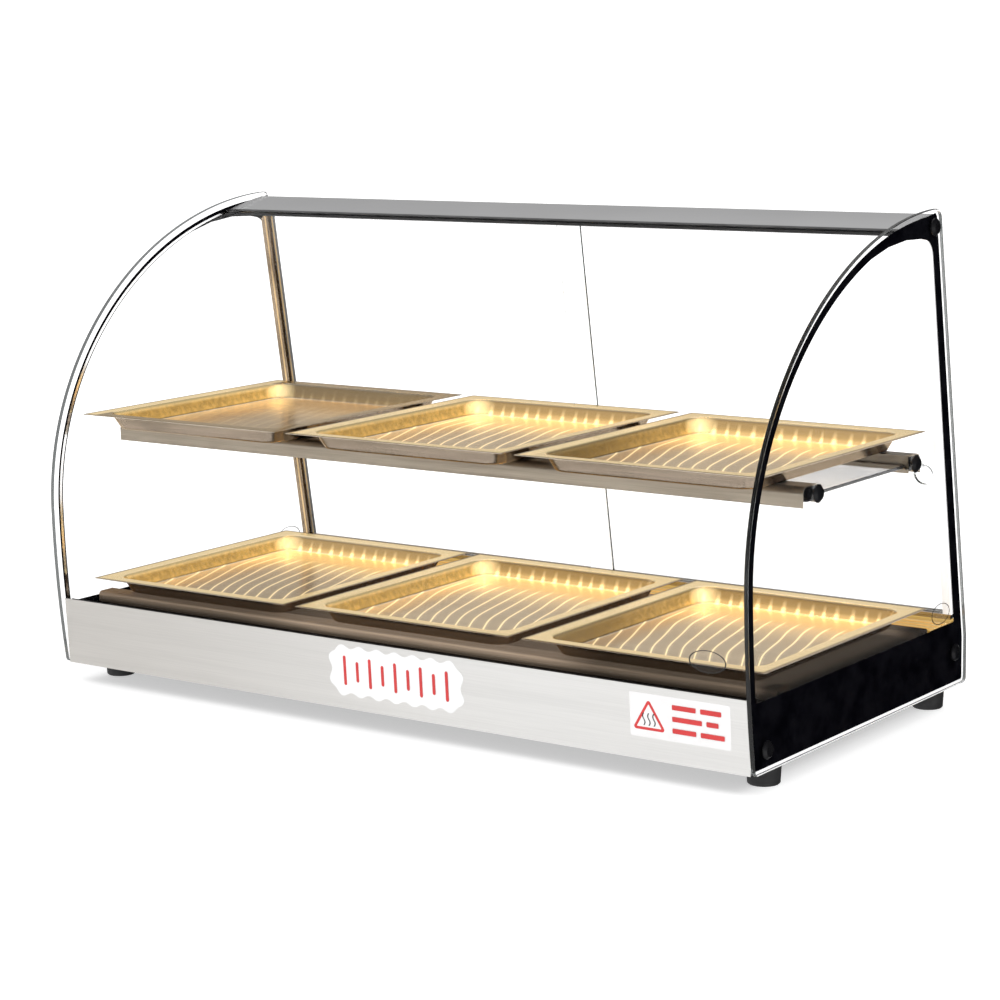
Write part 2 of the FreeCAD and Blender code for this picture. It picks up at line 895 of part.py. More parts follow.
def make_door(label, limits, door_n, grip_x):
    """Sliding glass door with a ground finger hole."""
    back = door_n + d.door_thick
    pane = leaning_box(label + "_pane", limits, (door_n, back), (d.door_bottom, d.door_top))
    hole = leaning_rod(label + "_hole", d.grip_hole, grip_x, (door_n - OVER, back + OVER), d.grip_up)
    return node(cut(label, pane, hole), label)


def make_grip(label, door_n, grip_x):
    """Grommet that lines the finger hole, with a thin flange on each face."""
    front, back = door_n, door_n + d.door_thick
    up, lip = d.grip_up, d.grip_lip
    sleeve = leaning_rod(label + "_sleeve", d.grip_hole - d.snug, grip_x, (front, back), up)
    rim_front = leaning_rod(label + "_rim_front", d.grip_flange, grip_x, (front - lip, front), up)
    rim_back = leaning_rod(label + "_rim_back", d.grip_flange, grip_x, (back, back + lip), up)
    bore = leaning_rod(label + "_bore", d.grip_bore, grip_x, (front - lip * 2, back + lip * 2), up)
    whole = fuse(label, sleeve, rim_front, rim_back)
    return node(cut(label, whole, bore), label)


make_door("sliding_door_left", (-d.door_edge_x, d.door_overlap), d.door_inner_n, -d.grip_x)
make_door("sliding_door_right", (-d.door_overlap, d.door_edge_x), d.door_outer_n, d.grip_x)
make_grip("finger_grip_left", d.door_inner_n, -d.grip_x)
make_grip("finger_grip_right", d.door_outer_n, d.grip_x)


# Base

floor_z = d.feet_high
floor_top = floor_z + d.cheek_sheet
fascia_lean = (d.fascia_top_y - d.base_front_low_y) / (d.fascia_top_z - floor_z)


def make_fascia():
    """Front sheet that leans out a little towards the top, with a flange on the base floor."""
    low_y, top_y, thick = d.base_front_low_y, d.fascia_top_y, d.sheet
    flange_y = low_y + d.fascia_flange
    body = profile_body("fascia", [
        (low_y, floor_z),
        (top_y, d.fascia_top_z),
        (top_y + thick, d.fascia_top_z),
        (low_y + thick + fascia_lean * (d.cheek_sheet + thick), floor_top + thick),
        (flange_y, floor_top + thick),
        (flange_y, floor_top),
        (low_y + thick + fascia_lean * d.cheek_sheet, floor_top),
        (low_y + thick, floor_z),
    ], inner_x * 2)
    return body


def make_base_floor():
    """Bottom plate with two rows of vent slots and holes for the feet."""
    body = new_body("base_floor")
    drawing = new_sketch(body, "base_floor_outline", "XY_Plane", floor_z)
    half = inner_x
    front, rear = d.base_front_low_y + d.sheet + d.gap, d.base_rear_y + d.sheet
    draw_polygon(drawing, [(-half, front), (half, front), (half, rear), (-half, rear)])
    pad(body, drawing, d.cheek_sheet)
    slot = new_sketch(body, "base_floor_slot", "XY_Plane")
    draw_polygon(slot, [(d.slot_first_x, d.slot_y), (d.slot_first_x + d.slot_wide, d.slot_y),
                        (d.slot_first_x + d.slot_wide, d.slot_y + d.slot_long),
                        (d.slot_first_x, d.slot_y + d.slot_long)])
    repeat_along_x(body, slot, d.slot_pitch, d.slot_count)
    feet = new_sketch(body, "base_floor_feet", "XY_Plane")
    for x in (-d.foot_x, d.foot_x):
        for y in (d.foot_front_y, d.foot_rear_y):
            draw_circle(feet, x, y, d.foot_screw_hole)
    pocket_through(body, feet)
    return body


def make_cheek(label, side):
    """Upright plate just inside a side pane, which carries two of its bolts."""
    near, far = inner_x - d.cheek_sheet, inner_x
    limits = (near, far) if side > 0 else (-far, -near)
    plate = plain_box(label + "_plate", limits, (d.cheek_front_y, d.cheek_rear_y), (floor_top, d.base_top_z))
    holes = [rod("%s_hole%d" % (label, number), d.bolt_shank + d.gap, d.cheek_sheet * 3,
                 limits[0] - d.cheek_sheet, y, z, X_AXIS)
             for number, (y, z) in enumerate(BOLT_PLACES[:2])]
    return node(cut(label, plate, *holes), label)


def make_glass_channel():
    """Black rubber channel behind the fascia, in which the front glass stands."""
    outer = d.fascia_top_y + d.sheet + d.gap
    glass_front = d.front_foot_y - d.gap
    glass_back = d.front_foot_y + d.glass_thick + d.side_gap
    inner = glass_back + d.channel_wall
    floor_low = d.front_foot_z - d.channel_floor
    leg_top = d.fascia_top_z - d.channel_sunk
    return profile_body("glass_channel", [
        (outer + d.channel_lean, floor_low), (inner, floor_low), (inner, leg_top), (glass_back, leg_top),
        (glass_back, d.front_foot_z - d.gap), (glass_front + d.channel_lean, d.front_foot_z - d.gap),
        (glass_front - d.channel_lean, leg_top), (outer, leg_top),
    ], (inner_x - d.cheek_sheet) * 2)


def make_base_top():
    """Black plate over the base box, under the deck."""
    front, rear = d.front_foot_y + d.base_top_inset, d.base_rear_y - d.gap
    low, high = d.base_top_z, d.base_top_z + d.sheet
    return profile_body("base_top", [(front, low), (rear, low), (rear, high), (front, high)], inner_x * 2)


RIB_COUNT = 3


def make_rear_sill():
    """Bright strip behind the deck, with three low ribs, that carries the door track."""
    front, rear, top = d.sill_front_y, d.base_rear_y + d.sheet, d.sill_z
    thick = d.sheet
    outline = [(front, d.base_top_z + thick), (front, top)]
    for number in range(RIB_COUNT):
        crest = front + d.rib_first + d.rib_pitch * number
        outline += [(crest - d.rib_half, top), (crest, top + d.rib_high), (crest + d.rib_half, top)]
    outline += [(rear, top), (rear, top - thick)]
    outline += [(front + thick, top - thick), (front + thick, d.base_top_z + thick)]
    return profile_body("rear_sill", outline, (inner_x - d.gap) * 2)


PANEL_SCREW_X = (-500.0, -210.0, 0.0, 300.0, 500.0)


def make_rear_panel():
    """Back of the base, with its cut-outs for the controls, the cord and the air."""
    body = new_body("rear_panel")
    drawing = new_sketch(body, "rear_panel_outline", "XZ_Plane", -(d.base_rear_y + d.sheet))
    half = inner_x - d.cheek_sheet - d.gap
    draw_polygon(drawing, [(-half, floor_top), (half, floor_top), (half, d.sill_z - d.sheet),
                           (-half, d.sill_z - d.sheet)])
    solid = pad(body, drawing, d.sheet)
    doc.recompute([solid, body])
    cutouts = new_sketch(body, "rear_panel_cutouts", "XZ_Plane")
    draw_circle(cutouts, d.dial_x, d.dial_z, d.bush_radius + d.gap)
    draw_circle(cutouts, d.lamp_x, d.dial_z, d.lamp_radius + d.gap)
    draw_circle(cutouts, d.gland_x, d.gland_z, d.gland_stem + d.gap)
    for x in PANEL_SCREW_X:
        draw_circle(cutouts, x, d.panel_screw_z, d.panel_screw_hole)
    for x in (d.power_x, d.light_x):
        wide = d.rocker_wide / 2 + d.barrel_side + d.gap
        tall = d.rocker_long / 2 + d.barrel_end + d.gap
        first = cutouts.GeometryCount
        corners = [(x - wide, d.dial_z - tall), (x + wide, d.dial_z - tall),
                   (x + wide, d.dial_z + tall), (x - wide, d.dial_z + tall)]
        for number in range(4):
            start, end = corners[number], corners[(number + 1) % 4]
            cutouts.addGeometry(Part.LineSegment(Vector(start[0].value, start[1].value, 0),
                                                 Vector(end[0].value, end[1].value, 0)))
        for number in range(4):
            following = first + (number + 1) % 4
            cutouts.addConstraint(Sketcher.Constraint("Coincident", first + number, 2, following, 1))
            pin_point(cutouts, first + number, 1, *corners[number])
    pocket_through(body, cutouts)
    vent = new_sketch(body, "rear_panel_vent", "XZ_Plane")
    draw_polygon(vent, [(d.vent_x, d.vent_low_z), (d.vent_x + d.vent_wide, d.vent_low_z),
                        (d.vent_x + d.vent_wide, d.vent_top_z), (d.vent_x, d.vent_top_z)])
    repeat_along_x(body, vent, d.vent_pitch, d.vent_count)
    return body


make_fascia()
make_base_floor()
make_cheek("base_cheek_left", -1)
make_cheek("base_cheek_right", 1)
make_glass_channel()
make_base_top()
make_rear_sill()
make_rear_panel()


# Heated deck

def make_deck():
    """Pressed sheet: two raised lips carry the pans over a lower heated floor."""
    thick = d.deck_sheet
    front, rear = d.deck_front_y, d.deck_rear_y
    lip_in_front, lip_in_rear = front + d.deck_lip_wide, rear - d.deck_lip_wide
    ramp = d.deck_ramp
    lip, floor = d.deck_lip_z, d.deck_floor_z
    low = lip - d.deck_skirt
    body = profile_body("heated_deck", [
        (front, low), (front, lip), (lip_in_front, lip), (lip_in_front + ramp, floor),
        (lip_in_rear - ramp, floor), (lip_in_rear, lip), (rear, lip), (rear, low),
        (rear - thick, low), (rear - thick, lip - thick), (lip_in_rear + thick / 2, lip - thick),
        (lip_in_rear - ramp + thick / 2, floor - thick), (lip_in_front + ramp - thick / 2, floor - thick),
        (lip_in_front - thick / 2, lip - thick), (front + thick, lip - thick), (front + thick, low),
    ], (inner_x - d.deck_end_gap) * 2)
    round_edges(body, d.deck_round, runs_along_x_at((front, lip), (rear, lip)))
    round_edges(body, d.deck_round - thick,
                runs_along_x_at((front + thick, lip - thick), (rear - thick, lip - thick)))
    return body


make_deck()


# Shelf

def make_rail(label, facing):
    """Rail section: a rounded outer face, a flat top, a short inner leg with a ledge for the glass."""
    thick = d.rail_sheet
    outer, wide = d.rail_outer_y, d.rail_wide
    top, low, inner_low = d.rail_top_z, d.rail_low_z, d.rail_inner_low_z
    inner = outer + wide
    ledge = d.shelf_ledge_z
    outline = [
        (outer, low), (outer, top), (inner, top), (inner, ledge), (inner + d.shelf_ledge, ledge),
        (inner + d.shelf_ledge, ledge - thick), (inner, ledge - thick), (inner, inner_low),
        (inner - thick, inner_low), (inner - thick, top - thick), (outer + thick, top - thick),
        (outer + thick, low),
    ]
    if facing > 0:
        mirror = d.shelf_mid_y * 2
        outline = [(mirror - y, z) for y, z in reversed(outline)]
    body = profile_body(label, outline, (inner_x - d.gap) * 2)
    outer_edge = outer if facing < 0 else d.shelf_mid_y * 2 - outer
    inner_edge = outer + thick if facing < 0 else d.shelf_mid_y * 2 - outer - thick
    round_edges(body, d.rail_round, runs_along_x_at((outer_edge, top)))
    round_edges(body, d.rail_round - thick, runs_along_x_at((inner_edge, top - thick)))
    return body


make_rail("shelf_rail_front", -1)
make_rail("shelf_rail_rear", 1)


def make_shelf_glass():
    """Clear plate that lies on the ledges of the two rails."""
    front = d.rail_outer_y + d.rail_wide + d.shelf_slack
    rear = d.shelf_mid_y * 2 - front
    half = inner_x - d.shelf_end_gap
    plate = plain_box("shelf_glass_plate", (-half, half), (front, rear),
                      (d.shelf_ledge_z, d.shelf_ledge_z + d.shelf_glass))
    return node(plate, "shelf_glass")


make_shelf_glass()


def make_rail_plugs():
    """Threaded end plugs inside the rails, one for each shelf bolt."""
    plugs = []
    outer, wide = d.rail_outer_y, d.rail_wide
    inner = outer + wide
    for side in (-1, 1):
        for facing in (-1, 1):
            near = (outer + d.rail_sheet + d.plug_clear, inner - d.rail_sheet)
            if facing > 0:
                near = (d.shelf_mid_y * 2 - near[1], d.shelf_mid_y * 2 - near[0])
            x = (inner_x - d.plug_long, inner_x - d.gap)
            if side < 0:
                x = (-x[1], -x[0])
            name = "rail_plug_%d_%d" % (side + 1, facing + 1)
            block = plain_box(name, x, near, (d.rail_inner_low_z + d.plug_rise, d.rail_top_z - d.rail_sheet))
            bolt_y, bolt_z = BOLT_PLACES[3] if facing < 0 else BOLT_PLACES[4]
            bore = rod(name + "_bore", d.bolt_shank + d.snug, d.plug_long + 2 * OVER, x[0] - OVER,
                       bolt_y, bolt_z, X_AXIS)
            plugs.append(cut(name, block, bore))
    return group("rail_end_plugs", plugs)


make_rail_plugs()


# Pans

def make_pan(label, x, y, floor_z_low):
    """Shallow pressed pan: a flat square-cornered rim, sloped walls and a flat floor."""
    body = new_body(label)
    thick, high = d.pan_sheet, d.pan_high
    mouth_wide, mouth_deep = d.pan_wide - d.pan_rim * 2, d.pan_deep - d.pan_rim * 2
    floor_wide, floor_deep = mouth_wide - d.pan_draft * 2, mouth_deep - d.pan_draft * 2

    rim = new_sketch(body, label + "_rim", "XY_Plane", high - thick)
    draw_rounded_rectangle(rim, d.pan_wide, d.pan_deep, d.pan_rim_corner, 0)
    pad(body, rim, thick)

    mouth = new_sketch(body, label + "_mouth", "XY_Plane", high - thick)
    draw_rounded_rectangle(mouth, mouth_wide, mouth_deep, d.pan_corner, 0)
    bottom = new_sketch(body, label + "_bottom", "XY_Plane", 0)
    draw_rounded_rectangle(bottom, floor_wide, floor_deep, d.pan_corner - d.pan_draft / 2, 0)
    bowl = body.newObject("PartDesign::AdditiveLoft", label + "_bowl")
    bowl.Profile = mouth
    bowl.Sections = [bottom]
    bowl.Ruled = True
    doc.recompute([mouth, bottom, bowl, body])

    opening = new_sketch(body, label + "_opening", "XY_Plane", high + OVER)
    draw_rounded_rectangle(opening, mouth_wide - thick * 2 + d.pan_draft * 2 / high,
                           mouth_deep - thick * 2 + d.pan_draft * 2 / high, d.pan_corner - thick, 0)
    floor = new_sketch(body, label + "_floor", "XY_Plane", thick)
    draw_rounded_rectangle(floor, floor_wide - thick * 2, floor_deep - thick * 2,
                           d.pan_corner - d.pan_draft / 2 - thick, 0)
    before = body.Shape.Volume
    hollow = body.newObject("PartDesign::SubtractiveLoft", label + "_hollow")
    hollow.Profile = opening
    hollow.Sections = [floor]
    hollow.Ruled = True
    doc.recompute([opening, floor, hollow, body])
    if body.Shape.Volume >= before:
        raise ValueError(label + ": the hollow removes nothing")
    place(body, x, y, floor_z_low)
    return body


PAN_COLUMNS = (("left", -1), ("centre", 0), ("right", 1))
for column, step in PAN_COLUMNS:
    make_pan("upper_pan_" + column, d.pan_pitch * step, d.pan_high_y, d.rail_top_z)
    make_pan("lower_pan_" + column, d.pan_pitch * step, d.pan_low_y, d.deck_lip_z)


# Feet

def make_foot(label, x, y):
    """Rubber foot, a little narrower at the floor, with a recess for its screw."""
    body = new_body(label)
    drawing = new_sketch(body, label + "_section", "XZ_Plane")
    draw_polygon(drawing, [
        (d.foot_recess_radius, 0), (d.foot_low_radius - d.foot_chamfer, 0),
        (d.foot_low_radius, d.foot_chamfer), (d.foot_top_radius, d.feet_high - d.foot_flank),
        (d.foot_top_radius, d.feet_high), (d.foot_hole, d.feet_high),
        (d.foot_hole, d.foot_recess_high), (d.foot_recess_radius, d.foot_recess_high),
    ])
    turned = body.newObject("PartDesign::Revolution", label + "_turned")
    turned.Profile = drawing
    turned.ReferenceAxis = (drawing, ["V_Axis"])
    turned.Angle = 360
    doc.recompute([drawing, turned, body])
    place(body, x, y, 0)
    return body


FOOT_PLACES = [
    ("foot_front_left", -d.foot_x, d.foot_front_y),
    ("foot_front_right", d.foot_x, d.foot_front_y),
    ("foot_rear_left", -d.foot_x, d.foot_rear_y),
    ("foot_rear_right", d.foot_x, d.foot_rear_y),
]
foot_screws = []
for foot_name, foot_x, foot_y in FOOT_PLACES:
    make_foot(foot_name, foot_x, foot_y)
    shank = rod(foot_name + "_shank", d.foot_screw_radius, d.foot_screw_long, foot_x, foot_y, d.foot_screw_z,
                Z_AXIS)
    head = rod(foot_name + "_head", d.foot_head_radius, d.foot_head_high, foot_x, foot_y,
               d.foot_screw_z - d.gap, Z_AXIS)
    foot_screws.append(fuse(foot_name + "_screw", shank, head))
group("foot_screws", foot_screws)


# Glass bolts and their nuts

def make_bolts(label, side):
    """Domed caps outside a side pane, each on a shank that passes through it."""
    bolts = []
    face = d.case_len / 2 * side
    outwards = Vector(side, 0, 0)
    inwards = Vector(-side, 0, 0)
    for number, (y, z) in enumerate(BOLT_PLACES):
        name = "%s_%d" % (label, number)
        washer = rod(name + "_washer", d.bolt_cap, d.washer_high, face, y, z, outwards)
        dome = cone(name + "_dome", d.bolt_cap, d.bolt_cap_top, d.bolt_cap_high - d.washer_high,
                    face + d.washer_high * side, y, z, outwards)
        shank = rod(name + "_shank", d.bolt_shank, d.bolt_long, face, y, z, inwards)
        bolts.append(fuse(name, washer, dome, shank))
    return bolts


group("glass_bolts", make_bolts("glass_bolt_left", -1) + make_bolts("glass_bolt_right", 1))


def make_nuts():
    """Hexagon nuts behind the cheeks and the end brackets."""
    nuts = []
    for side in (-1, 1):
        for number, (y, z) in enumerate(BOLT_PLACES[:3]):
            backing = d.cheek_sheet if number < 2 else d.roof_sheet
            name = "nut_%d_%d" % (side + 1, number)
            prism = doc.addObject("Part::Prism", name)
            prism.Polygon = 6
            bind(prism, "Circumradius", d.nut_size)
            bind(prism, "Height", d.nut_high)
            start = (inner_x - backing) * side
            place(prism, start, y, z, Rotation(Z_AXIS, Vector(-side, 0, 0)))
            bore = rod(name + "_bore", d.bolt_shank + d.snug, d.nut_high * 3, start + d.nut_high * side,
                       y, z, Vector(-side, 0, 0))
            nuts.append(cut(name, prism, bore))
    return group("glass_bolt_nuts", nuts)


make_nuts()


# Heating, lighting and wiring inside the base

def make_heaters():
    """One flat mat heater under the deck below each lower pan."""
    mats = []
    for column, step in PAN_COLUMNS:
        mid = d.pan_pitch * step
        top = d.deck_floor_z - d.deck_sheet
        mats.append(plain_box("heater_mat_" + column, (mid - d.mat_half, mid + d.mat_half),
                              (d.mat_front_y, d.mat_rear_y), (top - d.mat_thick, top)))
    return group("heater_mats", mats)


make_heaters()
board_x = inner_x - d.board_end_gap
node(plain_box("insulation", (-board_x, board_x), (d.board_front_y, d.board_rear_y),
               (d.base_top_z - d.board_thick, d.base_top_z)), "insulation_board")


def make_led_bar(label, y_low, wide, z_low, high):
    """Slim housing, open below, with a lens just inside its mouth; returns the lens."""
    y, z = (y_low, y_low + wide), (z_low, z_low + high)
    half, slack = d.led_half - d.led_cap, d.led_slack
    inner_y = (y[0] + d.led_wall, y[1] - d.led_wall)
    housing = plain_box(label + "_outer", (-d.led_half, d.led_half), y, z)
    slot = plain_box(label + "_slot", (-half, half), inner_y, (z_low - OVER, z[1] - d.led_back))
    node(cut(label, housing, slot), label)
    lens_low = z_low + slack
    return plain_box(label + "_lens", (-half + slack, half - slack),
                     (inner_y[0] + slack, inner_y[1] - slack), (lens_low, lens_low + d.led_lens))


group("led_lenses", [
    make_led_bar("led_bar_top", d.led_top_y, d.led_top_wide, d.led_top_z, d.led_top_high),
    make_led_bar("led_bar_shelf", d.led_shelf_y, d.led_shelf_wide, d.led_shelf_z, d.led_shelf_high),
])

driver_case = plain_box("led_driver_case", (d.driver_x, d.driver_x + d.driver_long),
                        (d.driver_y, d.driver_y + d.driver_wide), (floor_top, floor_top + d.driver_high))
node(driver_case, "led_driver")

TERMINAL_WAYS = 6


def make_terminal_block():
    """Block with a screw hole over each way."""
    low, pitch, top = d.terminal_x, d.terminal_pitch, floor_top + d.terminal_high
    block = plain_box("terminal_body", (low, low + pitch * TERMINAL_WAYS),
                      (d.terminal_y, d.terminal_y + d.terminal_wide), (floor_top, top))
    mid_y = d.terminal_y + d.terminal_wide / 2
    holes = [rod("terminal_hole%d" % number, d.terminal_hole, d.terminal_deep + OVER,
                 low + pitch * (number + 0.5), mid_y, top - d.terminal_deep, Z_AXIS)
             for number in range(TERMINAL_WAYS)]
    return node(cut("terminal_block", block, *holes), "terminal_block")


make_terminal_block()


def make_wire_duct():
    """Trunking that carries the wiring along the base."""
    wall = d.cheek_sheet
    ends = (d.duct_x, d.duct_x + d.duct_long)
    sides = (d.duct_y, d.duct_y + d.duct_wide)
    heights = (floor_top, floor_top + d.duct_wide)
    duct = plain_box("wire_duct_outer", ends, sides, heights)
    limits = [(low + wall, high - wall) for low, high in (ends, sides, heights)]
    inside = plain_box("wire_duct_inside", *limits)
    return node(cut("wire_duct", duct, inside), "wire_duct")


make_wire_duct()


# Controls

panel_face = d.base_rear_y + d.sheet


def make_thermostat():
    """Thermostat body with its bush, the turning shaft and the dial knob."""
    x, z = d.dial_x, d.dial_z
    case = plain_box("thermostat_case", (x - d.thermostat_half, x + d.thermostat_half),
                     (d.thermostat_front_y, d.base_rear_y - d.thermostat_gap),
                     (z - d.thermostat_half_high, z + d.thermostat_half_high))
    bush = rod("thermostat_bush", d.bush_radius, d.bush_long, x, d.base_rear_y - d.bush_in, z, Y_AXIS)
    bore = rod("thermostat_bore", d.dial_shaft + d.run_gap, d.shaft_long * 2, x, d.shaft_start_y, z, Y_AXIS)
    node(cut("thermostat_body", fuse("thermostat_solid", case, bush), bore), "thermostat_body")
    shaft = rod("thermostat_spindle", d.dial_shaft, d.shaft_long, x, d.shaft_start_y + d.gap, z, Y_AXIS)
    node(shaft, "thermostat_shaft")
    start = d.base_rear_y + d.dial_gap
    face = start + d.dial_skirt
    skirt = rod("dial_skirt", d.dial_radius, d.dial_skirt, x, start, z, Y_AXIS)
    grip = cone("dial_grip", d.dial_grip_low, d.dial_grip_top, d.dial_high - d.dial_skirt, x, face, z,
                Y_AXIS)
    bar = plain_box("dial_bar", (x - d.dial_bar_half, x + d.dial_bar_half), (face, start + d.dial_bar_high),
                    (z - d.dial_bar_reach, z + d.dial_bar_reach))
    socket = rod("dial_socket", d.dial_shaft + d.press_gap, d.dial_socket_deep + d.gap, x, start - d.gap, z,
                 Y_AXIS)
    node(cut("thermostat_knob", fuse("dial_solid", skirt, grip, bar), socket), "thermostat_knob")


make_thermostat()


def make_capillary():
    """Sensing bulb under the base top and the fine tube that leads to it from the thermostat."""
    bulb = rod("bulb_rod", d.bulb_radius, d.bulb_long, d.bulb_x, d.bulb_y, d.bulb_z, X_AXIS)
    bend, radius = d.tube_bend.value, d.tube_radius.value
    start_x, start_y = d.dial_x.value, d.thermostat_front_y.value - d.tube_tuck.value
    bulb_y, bulb_z = d.bulb_y.value, d.bulb_z.value
    points = [Vector(start_x, start_y, d.tube_z.value), Vector(start_x, bulb_y, d.tube_z.value),
              Vector(start_x, bulb_y, bulb_z), Vector(d.bulb_x.value - d.tube_tuck.value, bulb_y, bulb_z)]
    edges = []
    cursor = points[0]
    for before, here, after in zip(points, points[1:], points[2:]):
        back = (before - here).normalize()
        ahead = (after - here).normalize()
        arc_in, arc_out = here + back * bend, here + ahead * bend
        centre = here + back * bend + ahead * bend
        middle = centre + (here - centre).normalize() * bend
        edges.append(Part.LineSegment(cursor, arc_in).toShape())
        edges.append(Part.Arc(arc_in, middle, arc_out).toShape())
        cursor = arc_out
    edges.append(Part.LineSegment(cursor, points[-1]).toShape())
    path = Part.Wire(edges)
    ring = Part.Wire([Part.Circle(points[0], Y_AXIS, radius).toShape()])
    tube = path.makePipeShell([ring], True, True)
    print("capillary: volume over section times length %.4f"
          % (tube.Volume / (math.pi * radius ** 2 * path.Length)))
    thing = doc.addObject("Part::Feature", "capillary_run")
    thing.Shape = tube
    return group("capillary_and_bulb", [bulb, thing])


make_capillary()


def make_rocker(label, x):
    """Rocker switch: a fixed frame with a well, and the rocker that tips in it on two short pins."""
    z = d.dial_z
    half_wide, half_long = d.rocker_wide / 2, d.rocker_long / 2
    pivot_y = panel_face + d.pivot_out

    def centred_box(part_name, side, end, y):
        return plain_box(label + part_name, (x - half_wide - side, x + half_wide + side), y,
                         (z - half_long - end, z + half_long + end))

    bezel = centred_box("_bezel", d.bezel_side, d.bezel_end, (panel_face, panel_face + d.bezel_high))
    barrel = centred_box("_barrel", d.barrel_side, d.barrel_end, (panel_face - d.barrel_deep, panel_face))
    well = centred_box("_well", d.gap, d.well_end,
                       (panel_face - d.well_deep, panel_face + d.bezel_high + OVER))
    pins_long = d.rocker_wide + d.pin_reach * 2
    socket = rod(label + "_socket", d.pin_radius + d.pin_gap, pins_long + d.pin_slack * 2,
                 x - pins_long / 2 - d.pin_slack, pivot_y, z, X_AXIS)
    frame = cut(label + "_frame", fuse(label + "_frame_solid", bezel, barrel), well, socket)
    node(frame, label + "_frame")

    body = doc.addObject("PartDesign::Body", label + "_paddle")
    drawing = new_sketch(body, label + "_paddle_section", "YZ_Plane")
    draw_polygon(drawing, [
        (-d.paddle_deep, -(half_long - d.paddle_taper)), (d.paddle_edge, -half_long),
        (d.paddle_high, -half_long), (d.paddle_waist, 0), (d.paddle_high, half_long),
        (d.paddle_edge, half_long), (-d.paddle_deep, half_long - d.paddle_taper),
    ])
    pad(body, drawing, d.rocker_wide, centred=True)
    place(body, x, pivot_y, z, Rotation(X_AXIS, d.rocker_off_deg.value))
    pins = rod(label + "_pins", d.pin_radius, pins_long, x - pins_long / 2, pivot_y, z, X_AXIS)
    node(fuse(label + "_rocker", body, pins), label + "_rocker")


make_rocker("power_switch", d.power_x)
make_rocker("light_switch", d.light_x)


def make_pilot_lamp():
    x, z = d.lamp_x, d.dial_z
    stem = rod("lamp_stem", d.lamp_radius, d.lamp_stem, x, panel_face - d.lamp_stem, z, Y_AXIS)
    flange = rod("lamp_flange", d.lamp_flange, d.lamp_flange_high, x, panel_face, z, Y_AXIS)
    dome = cone("lamp_dome", d.lamp_dome_low, d.lamp_dome_top, d.lamp_dome_high, x,
                panel_face + d.lamp_flange_high, z, Y_AXIS)
    node(fuse("pilot_lamp_solid", stem, flange, dome), "pilot_lamp")


make_pilot_lamp()


def make_cord_gland():
    """Cord gland in the rear panel: a threaded stem, a hexagon and a domed nut, bored right through."""
    x, z = d.gland_x, d.gland_z
    stem = rod("gland_stem", d.gland_stem, d.gland_stem_long, x, panel_face - d.gland_stem_in, z, Y_AXIS)
    hexagon = doc.addObject("Part::Prism", "gland_hexagon")
    hexagon.Polygon = 6
    bind(hexagon, "Circumradius", d.gland_radius)
    bind(hexagon, "Height", d.gland_hex_high)
    place(hexagon, x, panel_face, z, Rotation(Z_AXIS, Y_AXIS))
    nut = cone("gland_nut", d.gland_nut_low, d.gland_nut_top, d.gland_nut_high, x,
               panel_face + d.gland_hex_high, z, Y_AXIS)
    bore = rod("gland_hole", d.gland_bore, d.gland_stem_long * 3, x, panel_face - d.gland_stem_long, z,
               Y_AXIS)
    node(cut("cord_gland", fuse("gland_solid", stem, hexagon, nut), bore), "cord_gland")


make_cord_gland()


def make_panel_screws():
    """Pan-head screws along the upper edge of the rear panel."""
    screws = []
    for number, x in enumerate(PANEL_SCREW_X):
        z = d.panel_screw_z
        shank = rod("panel_screw_shank%d" % number, d.panel_screw_radius, d.panel_screw_long, x,
                    panel_face - d.panel_screw_long, z, Y_AXIS)
        head = rod("panel_screw_head%d" % number, d.panel_head_radius, d.panel_head_high, x, panel_face,
                   z, Y_AXIS)
        screws.append(fuse("panel_screw%d" % number, shank, head))
    return group("panel_screws", screws)


make_panel_screws()


# Checks and export

doc.recompute()
faults = [thing.Name for thing in doc.Objects if "Invalid" in thing.State or "Error" in thing.State]
if faults:
    raise RuntimeError("objects that failed: " + ", ".join(faults))
labels = [thing.Label for thing in nodes]
if len(set(labels)) != len(labels):
    raise RuntimeError("two sub-parts share a name")
for thing in nodes:
    if thing.Shape.isNull() or not thing.Shape.isValid() or thing.Shape.Volume <= 0:
        raise RuntimeError(thing.Label + " has no valid shape")

os.makedirs("parts", exist_ok=True)
whole = FreeCAD.BoundBox()
for thing in nodes:
    thing.Shape.exportStep(os.path.join("parts", thing.Label + ".step"))
    whole.add(thing.Shape.BoundBox)
print("%d sub-parts" % len(nodes))
print("box", [round(number, 2) for number in
              (whole.XMin, whole.XMax, whole.YMin, whole.YMax, whole.ZMin, whole.ZMax)])
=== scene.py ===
import math

import bpy
from mathutils import Matrix, Vector
from mathutils.geometry import delaunay_2d_cdt

